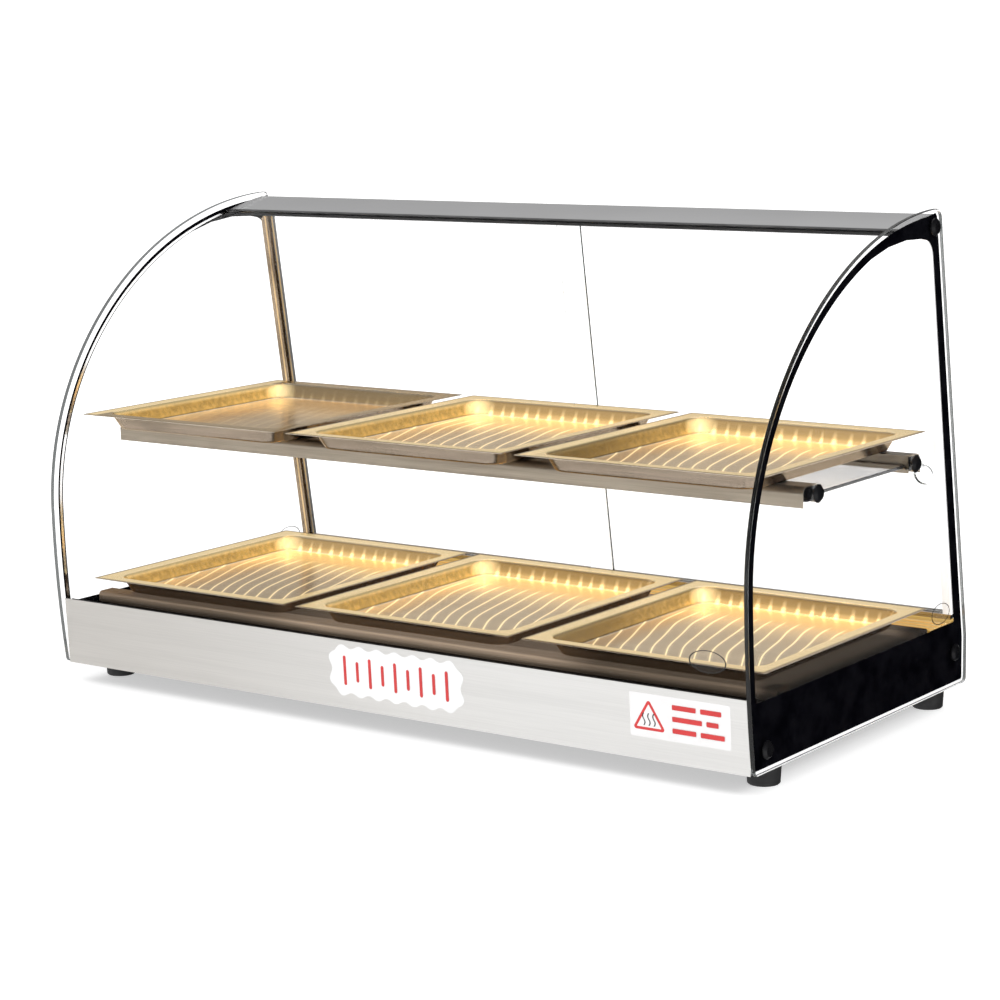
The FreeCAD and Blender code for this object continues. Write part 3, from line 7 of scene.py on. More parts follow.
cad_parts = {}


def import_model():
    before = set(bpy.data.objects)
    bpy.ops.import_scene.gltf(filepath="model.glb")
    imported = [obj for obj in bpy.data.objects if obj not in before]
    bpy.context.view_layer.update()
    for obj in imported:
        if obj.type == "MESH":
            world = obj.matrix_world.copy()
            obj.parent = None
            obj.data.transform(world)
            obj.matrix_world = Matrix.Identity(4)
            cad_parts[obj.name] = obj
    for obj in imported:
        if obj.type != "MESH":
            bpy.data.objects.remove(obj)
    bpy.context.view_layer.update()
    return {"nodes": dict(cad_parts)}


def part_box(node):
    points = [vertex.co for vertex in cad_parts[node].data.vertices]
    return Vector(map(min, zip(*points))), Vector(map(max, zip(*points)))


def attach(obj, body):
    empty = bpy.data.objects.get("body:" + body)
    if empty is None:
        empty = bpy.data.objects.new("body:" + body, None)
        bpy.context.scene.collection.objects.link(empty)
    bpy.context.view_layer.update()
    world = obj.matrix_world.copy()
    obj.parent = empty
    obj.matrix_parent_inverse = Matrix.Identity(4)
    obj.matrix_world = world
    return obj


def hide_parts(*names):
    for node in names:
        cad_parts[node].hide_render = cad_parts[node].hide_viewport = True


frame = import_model()
nodes = frame["nodes"]
scene = bpy.context.scene
MM = 0.001


# ---------------------------------------------------------------- materials

def feed(tree, socket, value):
    """Links a socket to another node's output, or sets its constant."""
    if isinstance(value, bpy.types.NodeSocket):
        tree.links.new(value, socket)
    elif isinstance(value, tuple) and len(value) == 3 and socket.type == "RGBA":
        socket.default_value = (*value, 1.0)
    else:
        socket.default_value = value


class Shader:
    """A material under construction: one Principled shader and the nodes that feed it."""

    def __init__(self, name, **values):
        self.mat = bpy.data.materials.new(name)
        self.mat.use_nodes = True
        self.tree = self.mat.node_tree
        self.main = self.tree.nodes["Principled BSDF"]
        self.out = self.tree.nodes["Material Output"]
        self.set(**values)

    def set(self, **values):
        for key, value in values.items():
            feed(self.tree, self.main.inputs[key.replace("_", " ")], value)

    def add(self, kind, inputs=(), **settings):
        made = self.tree.nodes.new("ShaderNode" + kind)
        for key, value in settings.items():
            setattr(made, key, value)
        for key, value in dict(inputs).items():
            feed(self.tree, made.inputs[key], value)
        return made

    def place(self):
        return self.add("TexCoord").outputs["Object"]

    def parts(self, vector):
        return self.add("SeparateXYZ", {0: vector}).outputs

    def math(self, operation, a, b=0.0, c=0.0, clamp=False):
        made = self.add("Math", {0: a, 1: b, 2: c}, operation=operation)
        made.use_clamp = clamp
        return made.outputs[0]

    def product(self, first, *others):
        for other in others:
            first = self.math("MULTIPLY", first, other)
        return first

    def apart(self, a, b):
        """The distance between two numbers."""
        return self.math("ABSOLUTE", self.math("SUBTRACT", a, b))

    def ramp(self, value, low, high, low_to=0.0, high_to=1.0):
        made = self.add("MapRange", {0: value, 1: low, 2: high, 3: low_to, 4: high_to})
        made.interpolation_type = "SMOOTHSTEP"
        return made.outputs[0]

    def mix(self, share, a, b, kind="MIX"):
        """A colour between two others. In a Mix node of colours, sockets 0, 6 and 7 are in use."""
        made = self.add("Mix", {0: share, 6: a, 7: b}, data_type="RGBA", blend_type=kind)
        return made.outputs[2]

    def noise(self, vector, scale, detail=2.0, rough=0.5):
        return self.add("TexNoise", {"Vector": vector, "Scale": scale, "Detail": detail,
                                     "Roughness": rough}).outputs[0]

    def stretched(self, vector, x, y, z):
        return self.add("Mapping", {"Vector": vector, "Scale": (x, y, z)}).outputs[0]

    def bump(self, height, strength, distance=0.0005):
        made = self.add("Bump", {"Height": height, "Strength": strength, "Distance": distance})
        self.set(Normal=made.outputs[0])


def lets_lamps_through(s):
    """Lamps and bounced light pass this glass straight, so that what stands behind it is lit."""
    path = s.add("LightPath").outputs
    share = s.math("MAXIMUM", path["Is Shadow Ray"], path["Is Diffuse Ray"])
    clear = s.add("BsdfTransparent", {"Color": (1.0, 1.0, 1.0)})
    both = s.add("MixShader", {0: share, 1: s.main.outputs[0], 2: clear.outputs[0]})
    s.tree.links.new(both.outputs[0], s.out.inputs["Surface"])


def glass(name, tint=(1.0, 1.0, 1.0), rough=0.0, bend=1.5):
    """Clear glass or plastic. A bend below real glass's 1.5 mirrors less, as the photo's panes do."""
    s = Shader(name, Base_Color=tint, Transmission_Weight=1.0, Roughness=rough, IOR=bend,
               Specular_IOR_Level=0.1)
    lets_lamps_through(s)
    return s.mat


def brushed(name, colour, dark, rough, along, scale=1.0, bump=0.05, metal=1.0, patch=0.5,
            rim=None, glow=None):
    """Brushed metal: fine scratches along one axis, and slow changes of tone over them."""
    s = Shader(name, Metallic=metal)
    where = s.place()
    fine = [900.0 * scale] * 3
    fine["XYZ".index(along)] = 12.0 * scale
    soft = [160.0 * scale] * 3
    soft["XYZ".index(along)] = 3.0 * scale
    grain = s.noise(s.stretched(where, *fine), 1.0, 3.0, 0.6)
    bands = s.noise(s.stretched(where, *soft), 1.0, 2.0, 0.5)
    cloud = s.noise(where, 6.0, 2.0)
    both = s.math("ADD", s.math("MULTIPLY", grain, 0.55), s.math("MULTIPLY", bands, 0.45))
    tone = s.math("ADD", both, s.math("MULTIPLY", s.math("SUBTRACT", cloud, 0.5), patch))
    s.set(Base_Color=s.mix(s.ramp(tone, 0.3, 0.7), dark, colour),
          Roughness=s.ramp(both, 0.3, 0.7, rough * 1.2, rough * 0.85))
    if rim:
        s.set(Specular_Tint=rim)
    # glow, where given, is painted light: the metal gives out light though it is no lamp
    if glow:
        s.set(Emission_Color=glow, Emission_Strength=s.ramp(both, 0.3, 0.7, 0.7, 1.0))
    s.bump(both, bump, 0.0003)
    return s.mat


def painted(name, colour, rough, grain=0.06, scale=2400.0, spread=0.25, level=0.5):
    """Paint, plastic or rubber with a fine skin and small changes of gloss and tone."""
    s = Shader(name, Specular_IOR_Level=level)
    where = s.place()
    skin = s.noise(where, scale, 2.0, 0.6)
    wear = s.noise(where, 35.0, 3.0, 0.6)
    light = tuple(min(1.0, c * (1 + spread) + 0.002) for c in colour)
    shade = tuple(c * (1 - spread) for c in colour)
    s.set(Base_Color=s.mix(s.ramp(wear, 0.3, 0.7), shade, light),
          Roughness=s.ramp(wear, 0.3, 0.7, rough * 1.12, rough * 0.88))
    s.bump(skin, grain, 0.0002)
    return s.mat


def glowing(name, colour, strength):
    """A lamp's lens, paler over each of the diodes behind it."""
    s = Shader(name, Base_Color=colour, Roughness=0.5, Emission_Color=colour,
               Emission_Strength=strength)
    pitch = s.parts(s.place())[0]
    dot = s.apart(s.math("FRACT", s.product(pitch, 60.0)), 0.5)
    s.set(Base_Color=s.mix(s.ramp(dot, 0.1, 0.35), (1.0, 0.93, 0.75), colour))
    return s.mat


M_GLASS = glass("clear_glass")
M_FRONT_GLASS = glass("coated_glass", bend=1.07)
M_EDGE = glass("ground_edge", (0.02, 0.022, 0.022), 0.22)
M_DOOR_EDGE = glass("polished_edge", (0.86, 0.92, 0.90), 0.12)
M_BRIGHT = brushed("satin_steel", (0.78, 0.76, 0.73), (0.60, 0.58, 0.55), 0.16, "X")


def lit_post():
    """Polished post with the thin golden line that the lamps draw down its front."""
    s = Shader("post_steel_left", Metallic=1.0)
    where = s.place()
    x = s.parts(where)[0]
    grain = s.noise(s.stretched(where, 700.0, 700.0, 10.0), 1.0, 3.0, 0.6)
    slow = s.noise(s.stretched(where, 60.0, 60.0, 3.0), 1.0, 2.0)
    both = s.math("ADD", s.math("MULTIPLY", grain, 0.4), s.math("MULTIPLY", slow, 0.6))
    # painted highlight: a golden line that glows down the post's front
    line = s.product(s.ramp(s.apart(x, -0.5285), 0.0004, 0.0022, 1.0, 0.0),
                     s.ramp(slow, 0.30, 0.60, 0.35, 1.0))
    # the brown tone and the warm reflection tint are painted warm reflections on the steel
    s.set(Base_Color=s.mix(s.ramp(both, 0.3, 0.7), (0.10, 0.07, 0.045), (0.34, 0.26, 0.18)),
          Specular_Tint=(0.55, 0.42, 0.28), Roughness=s.ramp(both, 0.3, 0.7, 0.20, 0.13),
          Emission_Color=(1.0, 0.66, 0.26), Emission_Strength=s.math("MULTIPLY", line, 0.55))
    s.bump(both, 0.03, 0.0003)
    return s.mat


M_POST = lit_post()
# the right post is painted near-white with a grey glow: a painted highlight on the steel
M_POST_RIGHT = brushed("post_steel_right", (0.97, 0.965, 0.96), (0.93, 0.925, 0.92), 0.45, "Z",
                       0.8, 0.01, 0.3, 0.1, glow=(0.50, 0.50, 0.50))
M_FASCIA = brushed("fascia_steel", (0.80, 0.785, 0.765), (0.765, 0.75, 0.73), 0.42, "X",
                   0.8, 0.015, 0.72, 0.2)


def front_sheet():
    """The fascia's brushed steel, lighter towards the right-hand end where the studio light falls."""
    s = Shader("front_sheet", Metallic=0.72)
    where = s.place()
    x = s.parts(where)[0]
    grain = s.noise(s.stretched(where, 9.0, 700.0, 700.0), 1.0, 3.0, 0.6)
    bands = s.noise(s.stretched(where, 1.5, 90.0, 90.0), 1.0, 1.0)
    tone = s.math("ADD", s.math("MULTIPLY", grain, 0.6), s.math("MULTIPLY", bands, 0.4))
    fine = s.mix(s.ramp(tone, 0.3, 0.7), (0.94, 0.94, 0.94), (1.0, 1.0, 1.0))
    slow = s.mix(s.ramp(x, -0.55, 0.30), (0.66, 0.635, 0.60), (0.86, 0.85, 0.83))
    s.set(Base_Color=s.mix(1.0, slow, fine, "MULTIPLY"), Roughness=s.ramp(tone, 0.3, 0.7, 0.46, 0.38))
    s.bump(tone, 0.015, 0.0003)
    return s.mat


M_FRONT = front_sheet()
M_PLATED = brushed("zinc_plate", (0.62, 0.63, 0.64), (0.44, 0.45, 0.46), 0.32, "X", 0.5)


def deck_steel():
    """Dark heated sheet, warmer and lighter towards the left end where more of the lamps' light lies."""
    s = Shader("deck_steel", Metallic=1.0)
    where = s.place()
    x, _, z = s.parts(where)
    grain = s.noise(s.stretched(where, 12.0, 900.0, 900.0), 1.0, 3.0, 0.6)
    slow = s.mix(s.ramp(x, -0.20, 0.50), (0.30, 0.21, 0.14), (0.070, 0.046, 0.030))
    worn = s.mix(s.ramp(grain, 0.3, 0.7), (0.85, 0.85, 0.85), (1.0, 1.0, 1.0))
    edge = s.mix(s.ramp(x, -0.20, 0.50), (0.42, 0.31, 0.22), (0.12, 0.082, 0.055))
    # the lamps' glow along the sheet, strongest on its turned-down lip
    lip = s.math("MINIMUM", s.ramp(z, 0.103, 0.113, 0.25, 1.45), s.ramp(z, 0.1135, 0.1155, 1.45, 0.85))
    lit = s.product(s.ramp(x, -0.30, -0.12, 0.11, 0.24), s.ramp(x, 0.20, 0.30, 1.0, 0.40),
                    s.ramp(x, 0.495, 0.525, 1.0, 0.15), lip, s.ramp(grain, 0.3, 0.7, 0.8, 1.15))
    s.set(Base_Color=s.mix(1.0, slow, worn, "MULTIPLY"), Specular_Tint=edge,
          Roughness=s.ramp(grain, 0.3, 0.7, 0.24, 0.18), Emission_Color=(1.0, 0.76, 0.55),
          Emission_Strength=lit)
    s.bump(grain, 0.02, 0.0002)
    return s.mat


M_DECK = deck_steel()
# the sill's gold colour, gold reflection tint and warm glow are painted lamp light on plain steel
M_SILL = brushed("sill_steel", (0.82, 0.66, 0.40), (0.66, 0.50, 0.27), 0.16, "X",
                 rim=(0.9, 0.7, 0.35), glow=(0.34, 0.20, 0.045))
M_RAIL = brushed("rail_metal", (0.33, 0.285, 0.225), (0.26, 0.22, 0.17), 0.34, "X", 1.0, 0.04)
M_SHEET = painted("black_sheet", (0.0016, 0.0016, 0.0019), 0.5, 0.015, level=0.03)
M_BEAM = painted("satin_black", (0.014, 0.014, 0.015), 0.38)


def roof_enamel():
    """Glossy roof enamel with a painted sheen that pales it at grazing angles; the cut front edge of the
    sheet is bright metal.
    """
    s = Shader("black_enamel", Specular_IOR_Level=1.0)
    where = s.place()
    y = s.parts(where)[1]
    wear = s.noise(where, 4.0, 2.0)
    fine = s.noise(where, 900.0, 2.0)
    facing = s.parts(s.add("NewGeometry").outputs["True Normal"])[1]
    cut = s.math("MULTIPLY", s.ramp(facing, -0.80, -0.60, 1.0, 0.0), s.ramp(y, 0.106, 0.108, 1.0, 0.0))
    # the pale grey that the enamel turns at grazing angles is a painted sheen
    skin = s.mix(s.ramp(wear, 0.3, 0.7), (0.27, 0.27, 0.272), (0.30, 0.30, 0.302))
    grazing = s.ramp(s.add("LayerWeight", {"Blend": 0.5}).outputs["Facing"], 0.35, 0.72)
    sheen = s.mix(grazing, (0.02, 0.02, 0.021), skin)
    s.set(Base_Color=s.mix(cut, sheen, (0.85, 0.84, 0.82)), Metallic=cut,
          Roughness=s.ramp(wear, 0.3, 0.7, 0.18, 0.15))
    s.bump(fine, 0.02, 0.0002)
    return s.mat


M_ROOF = roof_enamel()
M_RUBBER = painted("black_rubber", (0.020, 0.020, 0.021), 0.62, 0.25, 1500.0)
M_PLASTIC = painted("black_plastic", (0.005, 0.005, 0.006), 0.22, 0.05)
M_MAT = painted("silicone_mat", (0.55, 0.16, 0.03), 0.6, 0.3, 900.0)
M_WOOL = painted("mineral_wool", (0.62, 0.58, 0.46), 0.95, 0.9, 700.0)
M_WHITE = painted("white_plastic", (0.72, 0.72, 0.69), 0.45)
M_GREY = painted("grey_plastic", (0.25, 0.26, 0.27), 0.5)
M_BROWN = painted("brown_plastic", (0.20, 0.10, 0.05), 0.4)
M_COPPER = brushed("copper_tube", (0.75, 0.38, 0.22), (0.55, 0.26, 0.15), 0.3, "X")
M_AMBER = painted("amber_lens", (0.80, 0.30, 0.03), 0.15)
M_RED = painted("red_plastic", (0.45, 0.012, 0.01), 0.2, spread=0.1)
M_GROMMET = glass("clear_grip", (0.98, 0.99, 0.99), bend=1.06)
# the pale strip is painted light: it stands in for the light seen through the clear glass at the foot of the
# side panes
M_STRIP = painted("pale_strip", (0.88, 0.88, 0.88), 0.5, 0.02, spread=0.03)
M_LENS = glowing("led_lens", (1.0, 0.80, 0.45), 1.5)
M_FRIT = painted("black_frit", (0.0012, 0.0012, 0.0022), 0.8, 0.0, level=0.0)

LOOKS = {
    "base_cheek_left": M_SHEET, "base_cheek_right": M_SHEET, "base_top": M_SHEET, "base_floor": M_PLATED,
    "beam_end_brackets": M_SHEET, "capillary_and_bulb": M_COPPER, "cord_gland": M_PLASTIC,
    "door_track_lower": M_BRIGHT, "door_track_upper": M_BEAM, "fascia": M_FRONT,
    "finger_grip_left": M_GROMMET, "finger_grip_right": M_GROMMET, "foot_screws": M_PLATED,
    "front_glass": M_FRONT_GLASS, "glass_bolt_nuts": M_PLATED, "glass_bolts": M_PLASTIC,
    "glass_channel": M_RUBBER, "glass_top_trim": M_BEAM, "heated_deck": M_DECK, "heater_mats": M_MAT,
    "insulation_board": M_WOOL, "led_bar_shelf": M_RAIL, "led_bar_top": M_RAIL, "led_driver": M_WHITE,
    "led_lenses": M_LENS, "light_switch_frame": M_PLASTIC, "light_switch_rocker": M_PLASTIC,
    "panel_screws": M_PLATED, "pilot_lamp": M_AMBER, "power_switch_frame": M_PLASTIC,
    "power_switch_rocker": M_RED, "rail_end_plugs": M_PLASTIC, "rear_panel": M_FASCIA,
    "rear_post_left": M_POST, "rear_post_right": M_POST_RIGHT, "rear_sill": M_SILL, "roof_panel": M_ROOF,
    "shelf_glass": M_GLASS, "shelf_rail_front": M_RAIL, "shelf_rail_rear": M_RAIL,
    "terminal_block": M_WHITE, "thermostat_body": M_BROWN, "thermostat_knob": M_PLASTIC,
    "thermostat_shaft": M_BRIGHT, "top_beam": M_BEAM, "wire_duct": M_GREY,
}


def dress(node, mat):
    slots = nodes[node].data.materials
    slots.clear()
    slots.append(mat)


for name, look in LOOKS.items():
    dress(name, look)
for name in nodes:
    if name.startswith("foot_") and name != "foot_screws":
        dress(name, M_RUBBER)


# ---------------------------------------------------------------- mesh helpers

def piece(name, verts, faces, mats, body="case", slot=None, picks=None, smooth=None, stands_for=()):
    """A mesh object in the row frame that rides on a body. picks gives each face's material number."""
    mesh = bpy.data.meshes.new(name)
    mesh.from_pydata([tuple(v) for v in verts], [], faces)
    for mat in mats:
        mesh.materials.append(mat)
    if picks is not None:
        mesh.polygons.foreach_set("material_index", picks)
    mesh.validate()
    mesh.update()
    thing = bpy.data.objects.new(name, mesh)
    scene.collection.objects.link(thing)
    if smooth is not None:
        mesh.polygons.foreach_set("use_smooth", [True] * len(mesh.polygons))
        mesh.set_sharp_from_angle(angle=math.radians(smooth))
    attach(thing, body)
    if stands_for:
        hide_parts(*stands_for)
    return thing


def circle(x, y, radius, count):
    return [(x + radius * math.cos(2 * math.pi * i / count),
             y + radius * math.sin(2 * math.pi * i / count)) for i in range(count)]


def rounded(points, radii, steps=8):
    """A closed polygon whose corners are turned into arcs of the given radii."""
    made = []
    count = len(points)
    for i in range(count):
        here, radius = Vector(points[i]), radii[i]
        if not radius:
            made.append(tuple(here))
            continue
        back = (Vector(points[i - 1]) - here).normalized()
        ahead = (Vector(points[(i + 1) % count]) - here).normalized()
        half = back.angle(ahead) / 2
        reach = radius / math.tan(half)
        centre = here + (back + ahead).normalized() * (radius / math.sin(half))
        first, last = here + back * reach - centre, here + ahead * reach - centre
        turn = first.angle_signed(last)
        for k in range(steps + 1):
            angle = -turn * k / steps
            c, s = math.cos(angle), math.sin(angle)
            made.append((centre.x + first.x * c - first.y * s, centre.y + first.x * s + first.y * c))
    return made


def moved_in(points, depth):
    """A closed counter-clockwise loop moved inwards by a depth."""
    made = []
    count = len(points)
    for i in range(count):
        a, b, c = Vector(points[i - 1]), Vector(points[i]), Vector(points[(i + 1) % count])
        before, after = (b - a).normalized(), (c - b).normalized()
        n1, n2 = Vector((-before.y, before.x)), Vector((-after.y, after.x))
        along = (n1 + n2).normalized()
        made.append(tuple(b + along * (depth / max(0.3, along.dot(n1)))))
    return made


def area(points):
    return sum(a[0] * b[1] - b[0] * a[1] for a, b in zip(points, points[1:] + points[:1])) / 2


def inside(loop, x, y):
    hit = False
    for (x1, y1), (x2, y2) in zip(loop, loop[1:] + loop[:1]):
        if (y1 > y) != (y2 > y) and x < (x2 - x1) * (y - y1) / (y2 - y1) + x1:
            hit = not hit
    return hit


def triangles(outline, holes=(), marks=()):
    """Fills an outline around its holes, with edges along each mark. Returns points and triangles."""
    points, edges = [], []
    for loop in [outline, *holes, *marks]:
        start = len(points)
        points += [Vector(p) for p in loop]
        edges += [(start + i, start + (i + 1) % len(loop)) for i in range(len(loop))]
    found = delaunay_2d_cdt(points, edges, [], 0, 1e-7)
    kept = []
    for tri in found[2]:
        x = sum(found[0][i].x for i in tri) / 3
        y = sum(found[0][i].y for i in tri) / 3
        if inside(outline, x, y) and not any(inside(hole, x, y) for hole in holes):
            kept.append((tuple(tri), x, y))
    return [tuple(p) for p in found[0]], kept


def plate(name, outline, thick, matrix, mats, holes=(), marks=(), printed=None, arris=0.7 * MM, **more):
    """A flat plate with ground corners.

    mats are the faces', the edges' and the prints'; printed gives the material number at a place on
    the lower face."""
    if area(outline) < 0:
        outline = outline[::-1]
    face_loop = moved_in(outline, arris)
    verts, faces, picks = [], [], []
    index = {}

    def at(x, y, z):
        key = (round(x * 1e6), round(y * 1e6), round(z * 1e6))
        if key not in index:
            index[key] = len(verts)
            verts.append(matrix @ Vector((x, y, z)))
        return index[key]

    for z, low in ((0.0, True), (thick, False)):
        points, tris = triangles(face_loop, holes, marks if low else ())
        for tri, x, y in tris:
            ids = [at(points[i][0], points[i][1], z) for i in tri]
            faces.append(ids[::-1] if low else ids)
            picks.append(printed(x, y) if low and printed else 0)
    levels = [(face_loop, 0.0), (outline, arris), (outline, thick - arris), (face_loop, thick)]
    for (loop_a, za), (loop_b, zb) in zip(levels, levels[1:]):
        count = len(outline)
        for i in range(count):
            j = (i + 1) % count
            faces.append([at(*loop_a[i], za), at(*loop_a[j], za), at(*loop_b[j], zb), at(*loop_b[i], zb)])
            picks.append(1)
    for hole in holes:
        loop = hole if area(hole) > 0 else hole[::-1]
        for i in range(len(loop)):
            j = (i + 1) % len(loop)
            faces.append([at(*loop[j], 0.0), at(*loop[i], 0.0), at(*loop[i], thick), at(*loop[j], thick)])
            picks.append(1)
    if matrix.determinant() < 0:
        faces = [face[::-1] for face in faces]
    return piece(name, verts, faces, mats, picks=picks, smooth=25, **more)


# ---------------------------------------------------------------- glass

BOW_Y, BOW_Z, BOW_LONG, BOW_HIGH = 195.0, 241.0, 468.5, 399.5
TOE_RADIUS = 1500.0
BOLTS = [(-233.0, 55.0), (240.0, 73.0), (173.0, 618.0), (-117.0, 332.6), (127.0, 332.6)]
PANE_IN, PANE_OUT = 0.537, 0.543


def bow(inset, inset_top, end_y, steps):
    """Points of the bowed line from its foremost point up to a depth Y."""
    long_r, high_r = BOW_LONG - inset, BOW_HIGH - inset_top
    last = math.acos((end_y - BOW_Y) / long_r)
    return [(BOW_Y + long_r * math.cos(math.pi + (last - math.pi) * i / steps),
             BOW_Z + high_r * math.sin(math.pi + (last - math.pi) * i / steps)) for i in range(steps + 1)]


def toe(inset, low_z, steps):
    """Points of the barely curved front line from a low height up to the bow."""
    made = []
    for i in range(steps):
        z = low_z + (BOW_Z - low_z) * i / steps
        drop = BOW_Z - z
        made.append((BOW_Y - BOW_LONG + inset + TOE_RADIUS - math.sqrt(TOE_RADIUS ** 2 - drop ** 2), z))
    return made


def scaled(points):
    return [(x * MM, y * MM) for x, y in points]


def pane_outline():
    low = toe(0, 28.0, 14)
    curve = bow(0, 0, 191.0, 90)
    points = low + curve + [(273.5, 88.0), (273.5, 28.0)]
    radii = [0.0] * len(points)
    radii[0], radii[len(low) + len(curve) - 1], radii[-2], radii[-1] = 7.0, 14.0, 60.0, 7.0
    # arcs need room: points nearer to the top corner than its arc reaches are left out
    corner = Vector(curve[-1])
    kept = [(p, r) for i, (p, r) in enumerate(zip(points, radii))
            if r or (Vector(p) - corner).length > 17.0 and (Vector(p) - Vector(points[0])).length > 12.0]
    return rounded([p for p, _ in kept], [r for _, r in kept], 10)


OUTLINE = pane_outline()
OUTLINE = OUTLINE if area(OUTLINE) > 0 else OUTLINE[::-1]


def frit_outline():
    """The print's outer edge: it keeps further from the bowed edge than from the rear edge."""
    made = []
    for (y, z), far, near in zip(OUTLINE, moved_in(OUTLINE, 8.5), moved_in(OUTLINE, 4.4)):
        share = min(1.0, max(0.0, (y - 170.0) / 16.0)) if z > 600.0 else float(y > 0)
        rise = 1.0 if z < 60.0 else share
        made.append((far[0] + (near[0] - far[0]) * share, far[1] + (near[1] - far[1]) * rise))
    return made


FRIT_OUT = frit_outline()


def window_outline():
    """The clear part inside the printed band: an arch at the top, round corners at the rear."""
    front = toe(18.5, 111.0, 8) + bow(18.5, 19.5, 20.0, 50)
    arch = [(62.0, 601.6), (107.0, 606.5), (146.5, 605.4), (176.0, 600.5)]
    rear = [(245.0, 111.0)]
    points = front + arch + rear
    radii = [0.0] * len(points)
    radii[-2], radii[-1], radii[0] = 24.0, 3.0, 1.5
    return rounded(points, radii, 8)


WINDOW = window_outline()


def printed(y, z):
    """Material number at a place on a side pane: 0 clear glass, 2 black print, 3 the pale lower strip,
    painted light seen through the clear glass there.
    """
    y, z = y / MM, z / MM
    if inside(FRIT_OUT, y, z):
        return 0 if inside(WINDOW, y, z) else 2
    return 3 if z < 33.0 and -252.0 < y < 268.0 else 0


def side_pane(name, side):
    # plate coordinates are (Y, Z, distance outwards from the inner face)
    matrix = Matrix(((0, 0, side, PANE_IN * side), (1, 0, 0, 0), (0, 1, 0, 0), (0, 0, 0, 1)))
    holes = [scaled(circle(y, z, 4.6, 20)) for y, z in BOLTS]
    return plate(name + "_pane", scaled(OUTLINE), 6 * MM, matrix,
                 [M_FRONT_GLASS, M_EDGE, M_FRIT, M_STRIP], holes, [scaled(FRIT_OUT), scaled(WINDOW)],
                 printed, slot="side_glass", stands_for=(name,))


side_pane("side_glass_left", -1)
side_pane("side_glass_right", 1)


def bent_glass():
    """The front pane: a smooth bent sheet with ground edges all round."""
    lines = []
    for depth in (0.0, 6.0):
        lines.append(toe(10 + depth, 103.0, 10) + bow(10 + depth, 13 + depth, 98.5, 120))
    outer, inner = lines
    count = len(outer)
    half, arris = 0.536, 0.7 * MM
    rows = []
    for i in range(count):
        o, n = Vector(outer[i]) * MM, Vector(inner[i]) * MM
        across = (n - o).normalized() * arris
        rows.append((o, o + across, n - across, n))
    verts, faces, picks = [], [], []
    # one ring of eight points in each row: both faces, and the ground ends at each side
    for o, oa, na, n in rows:
        for x, p in ((-half + arris, o), (half - arris, o), (half, oa), (half, na),
                     (half - arris, n), (-half + arris, n), (-half, na), (-half, oa)):
            verts.append((x, p.x, p.y))
    for i in range(count - 1):
        for k in range(8):
            a, b = i * 8 + k, i * 8 + (k + 1) % 8
            faces.append([a, b, b + 8, a + 8])
            picks.append(0 if k in (0, 4) else 1)
    faces.append(list(range(8))[::-1])
    faces.append([(count - 1) * 8 + k for k in range(8)])
    picks += [1, 1]
    return piece("front_glass_bent", verts, faces, [M_FRONT_GLASS, M_DOOR_EDGE], picks=picks, smooth=25,
                 slot="curved_glass", stands_for=("front_glass",))


bent_glass()

LEAN = math.radians(8.5)
DOOR_Y, DOOR_Z = 240.9 * MM, 118.0 * MM


def leaning(n):
    """Matrix of a sheet in the doors' plane: X along the case, Y up the sheet, Z away from the customer."""
    c, s = math.cos(LEAN), math.sin(LEAN)
    return Matrix(((1, 0, 0, 0), (0, -s, c, DOOR_Y + n * c), (0, c, s, DOOR_Z + n * s), (0, 0, 0, 1)))


def door(name, low_x, high_x, n, grip_x):
    outline = rounded([(low_x, 1.3), (high_x, 1.3), (high_x, 497.5), (low_x, 497.5)], [2.0] * 4, 3)
    hole = scaled(circle(grip_x, 184.0, 13.0, 40))
    return plate(name + "_pane", scaled(outline), 4 * MM, leaning(n * MM), [M_GLASS, M_DOOR_EDGE], [hole],
                 arris=0.5 * MM, body=name.replace("sliding_door_", "") + "_door", slot="door_glass",
                 stands_for=(name,))


door("sliding_door_left", -533.0, 21.0, 3.0, -503.0)
door("sliding_door_right", -21.0, 533.0, 10.5, 503.0)

low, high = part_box("shelf_glass")
plate("shelf_glass_plate", [(low.x, low.y), (high.x, low.y), (high.x, high.y), (low.x, high.y)],
      high.z - low.z, Matrix.Translation((0, 0, low.z)), [M_GLASS, M_DOOR_EDGE], arris=0.5 * MM,
      slot="shelf_glass", stands_for=("shelf_glass",))


# ---------------------------------------------------------------- pans

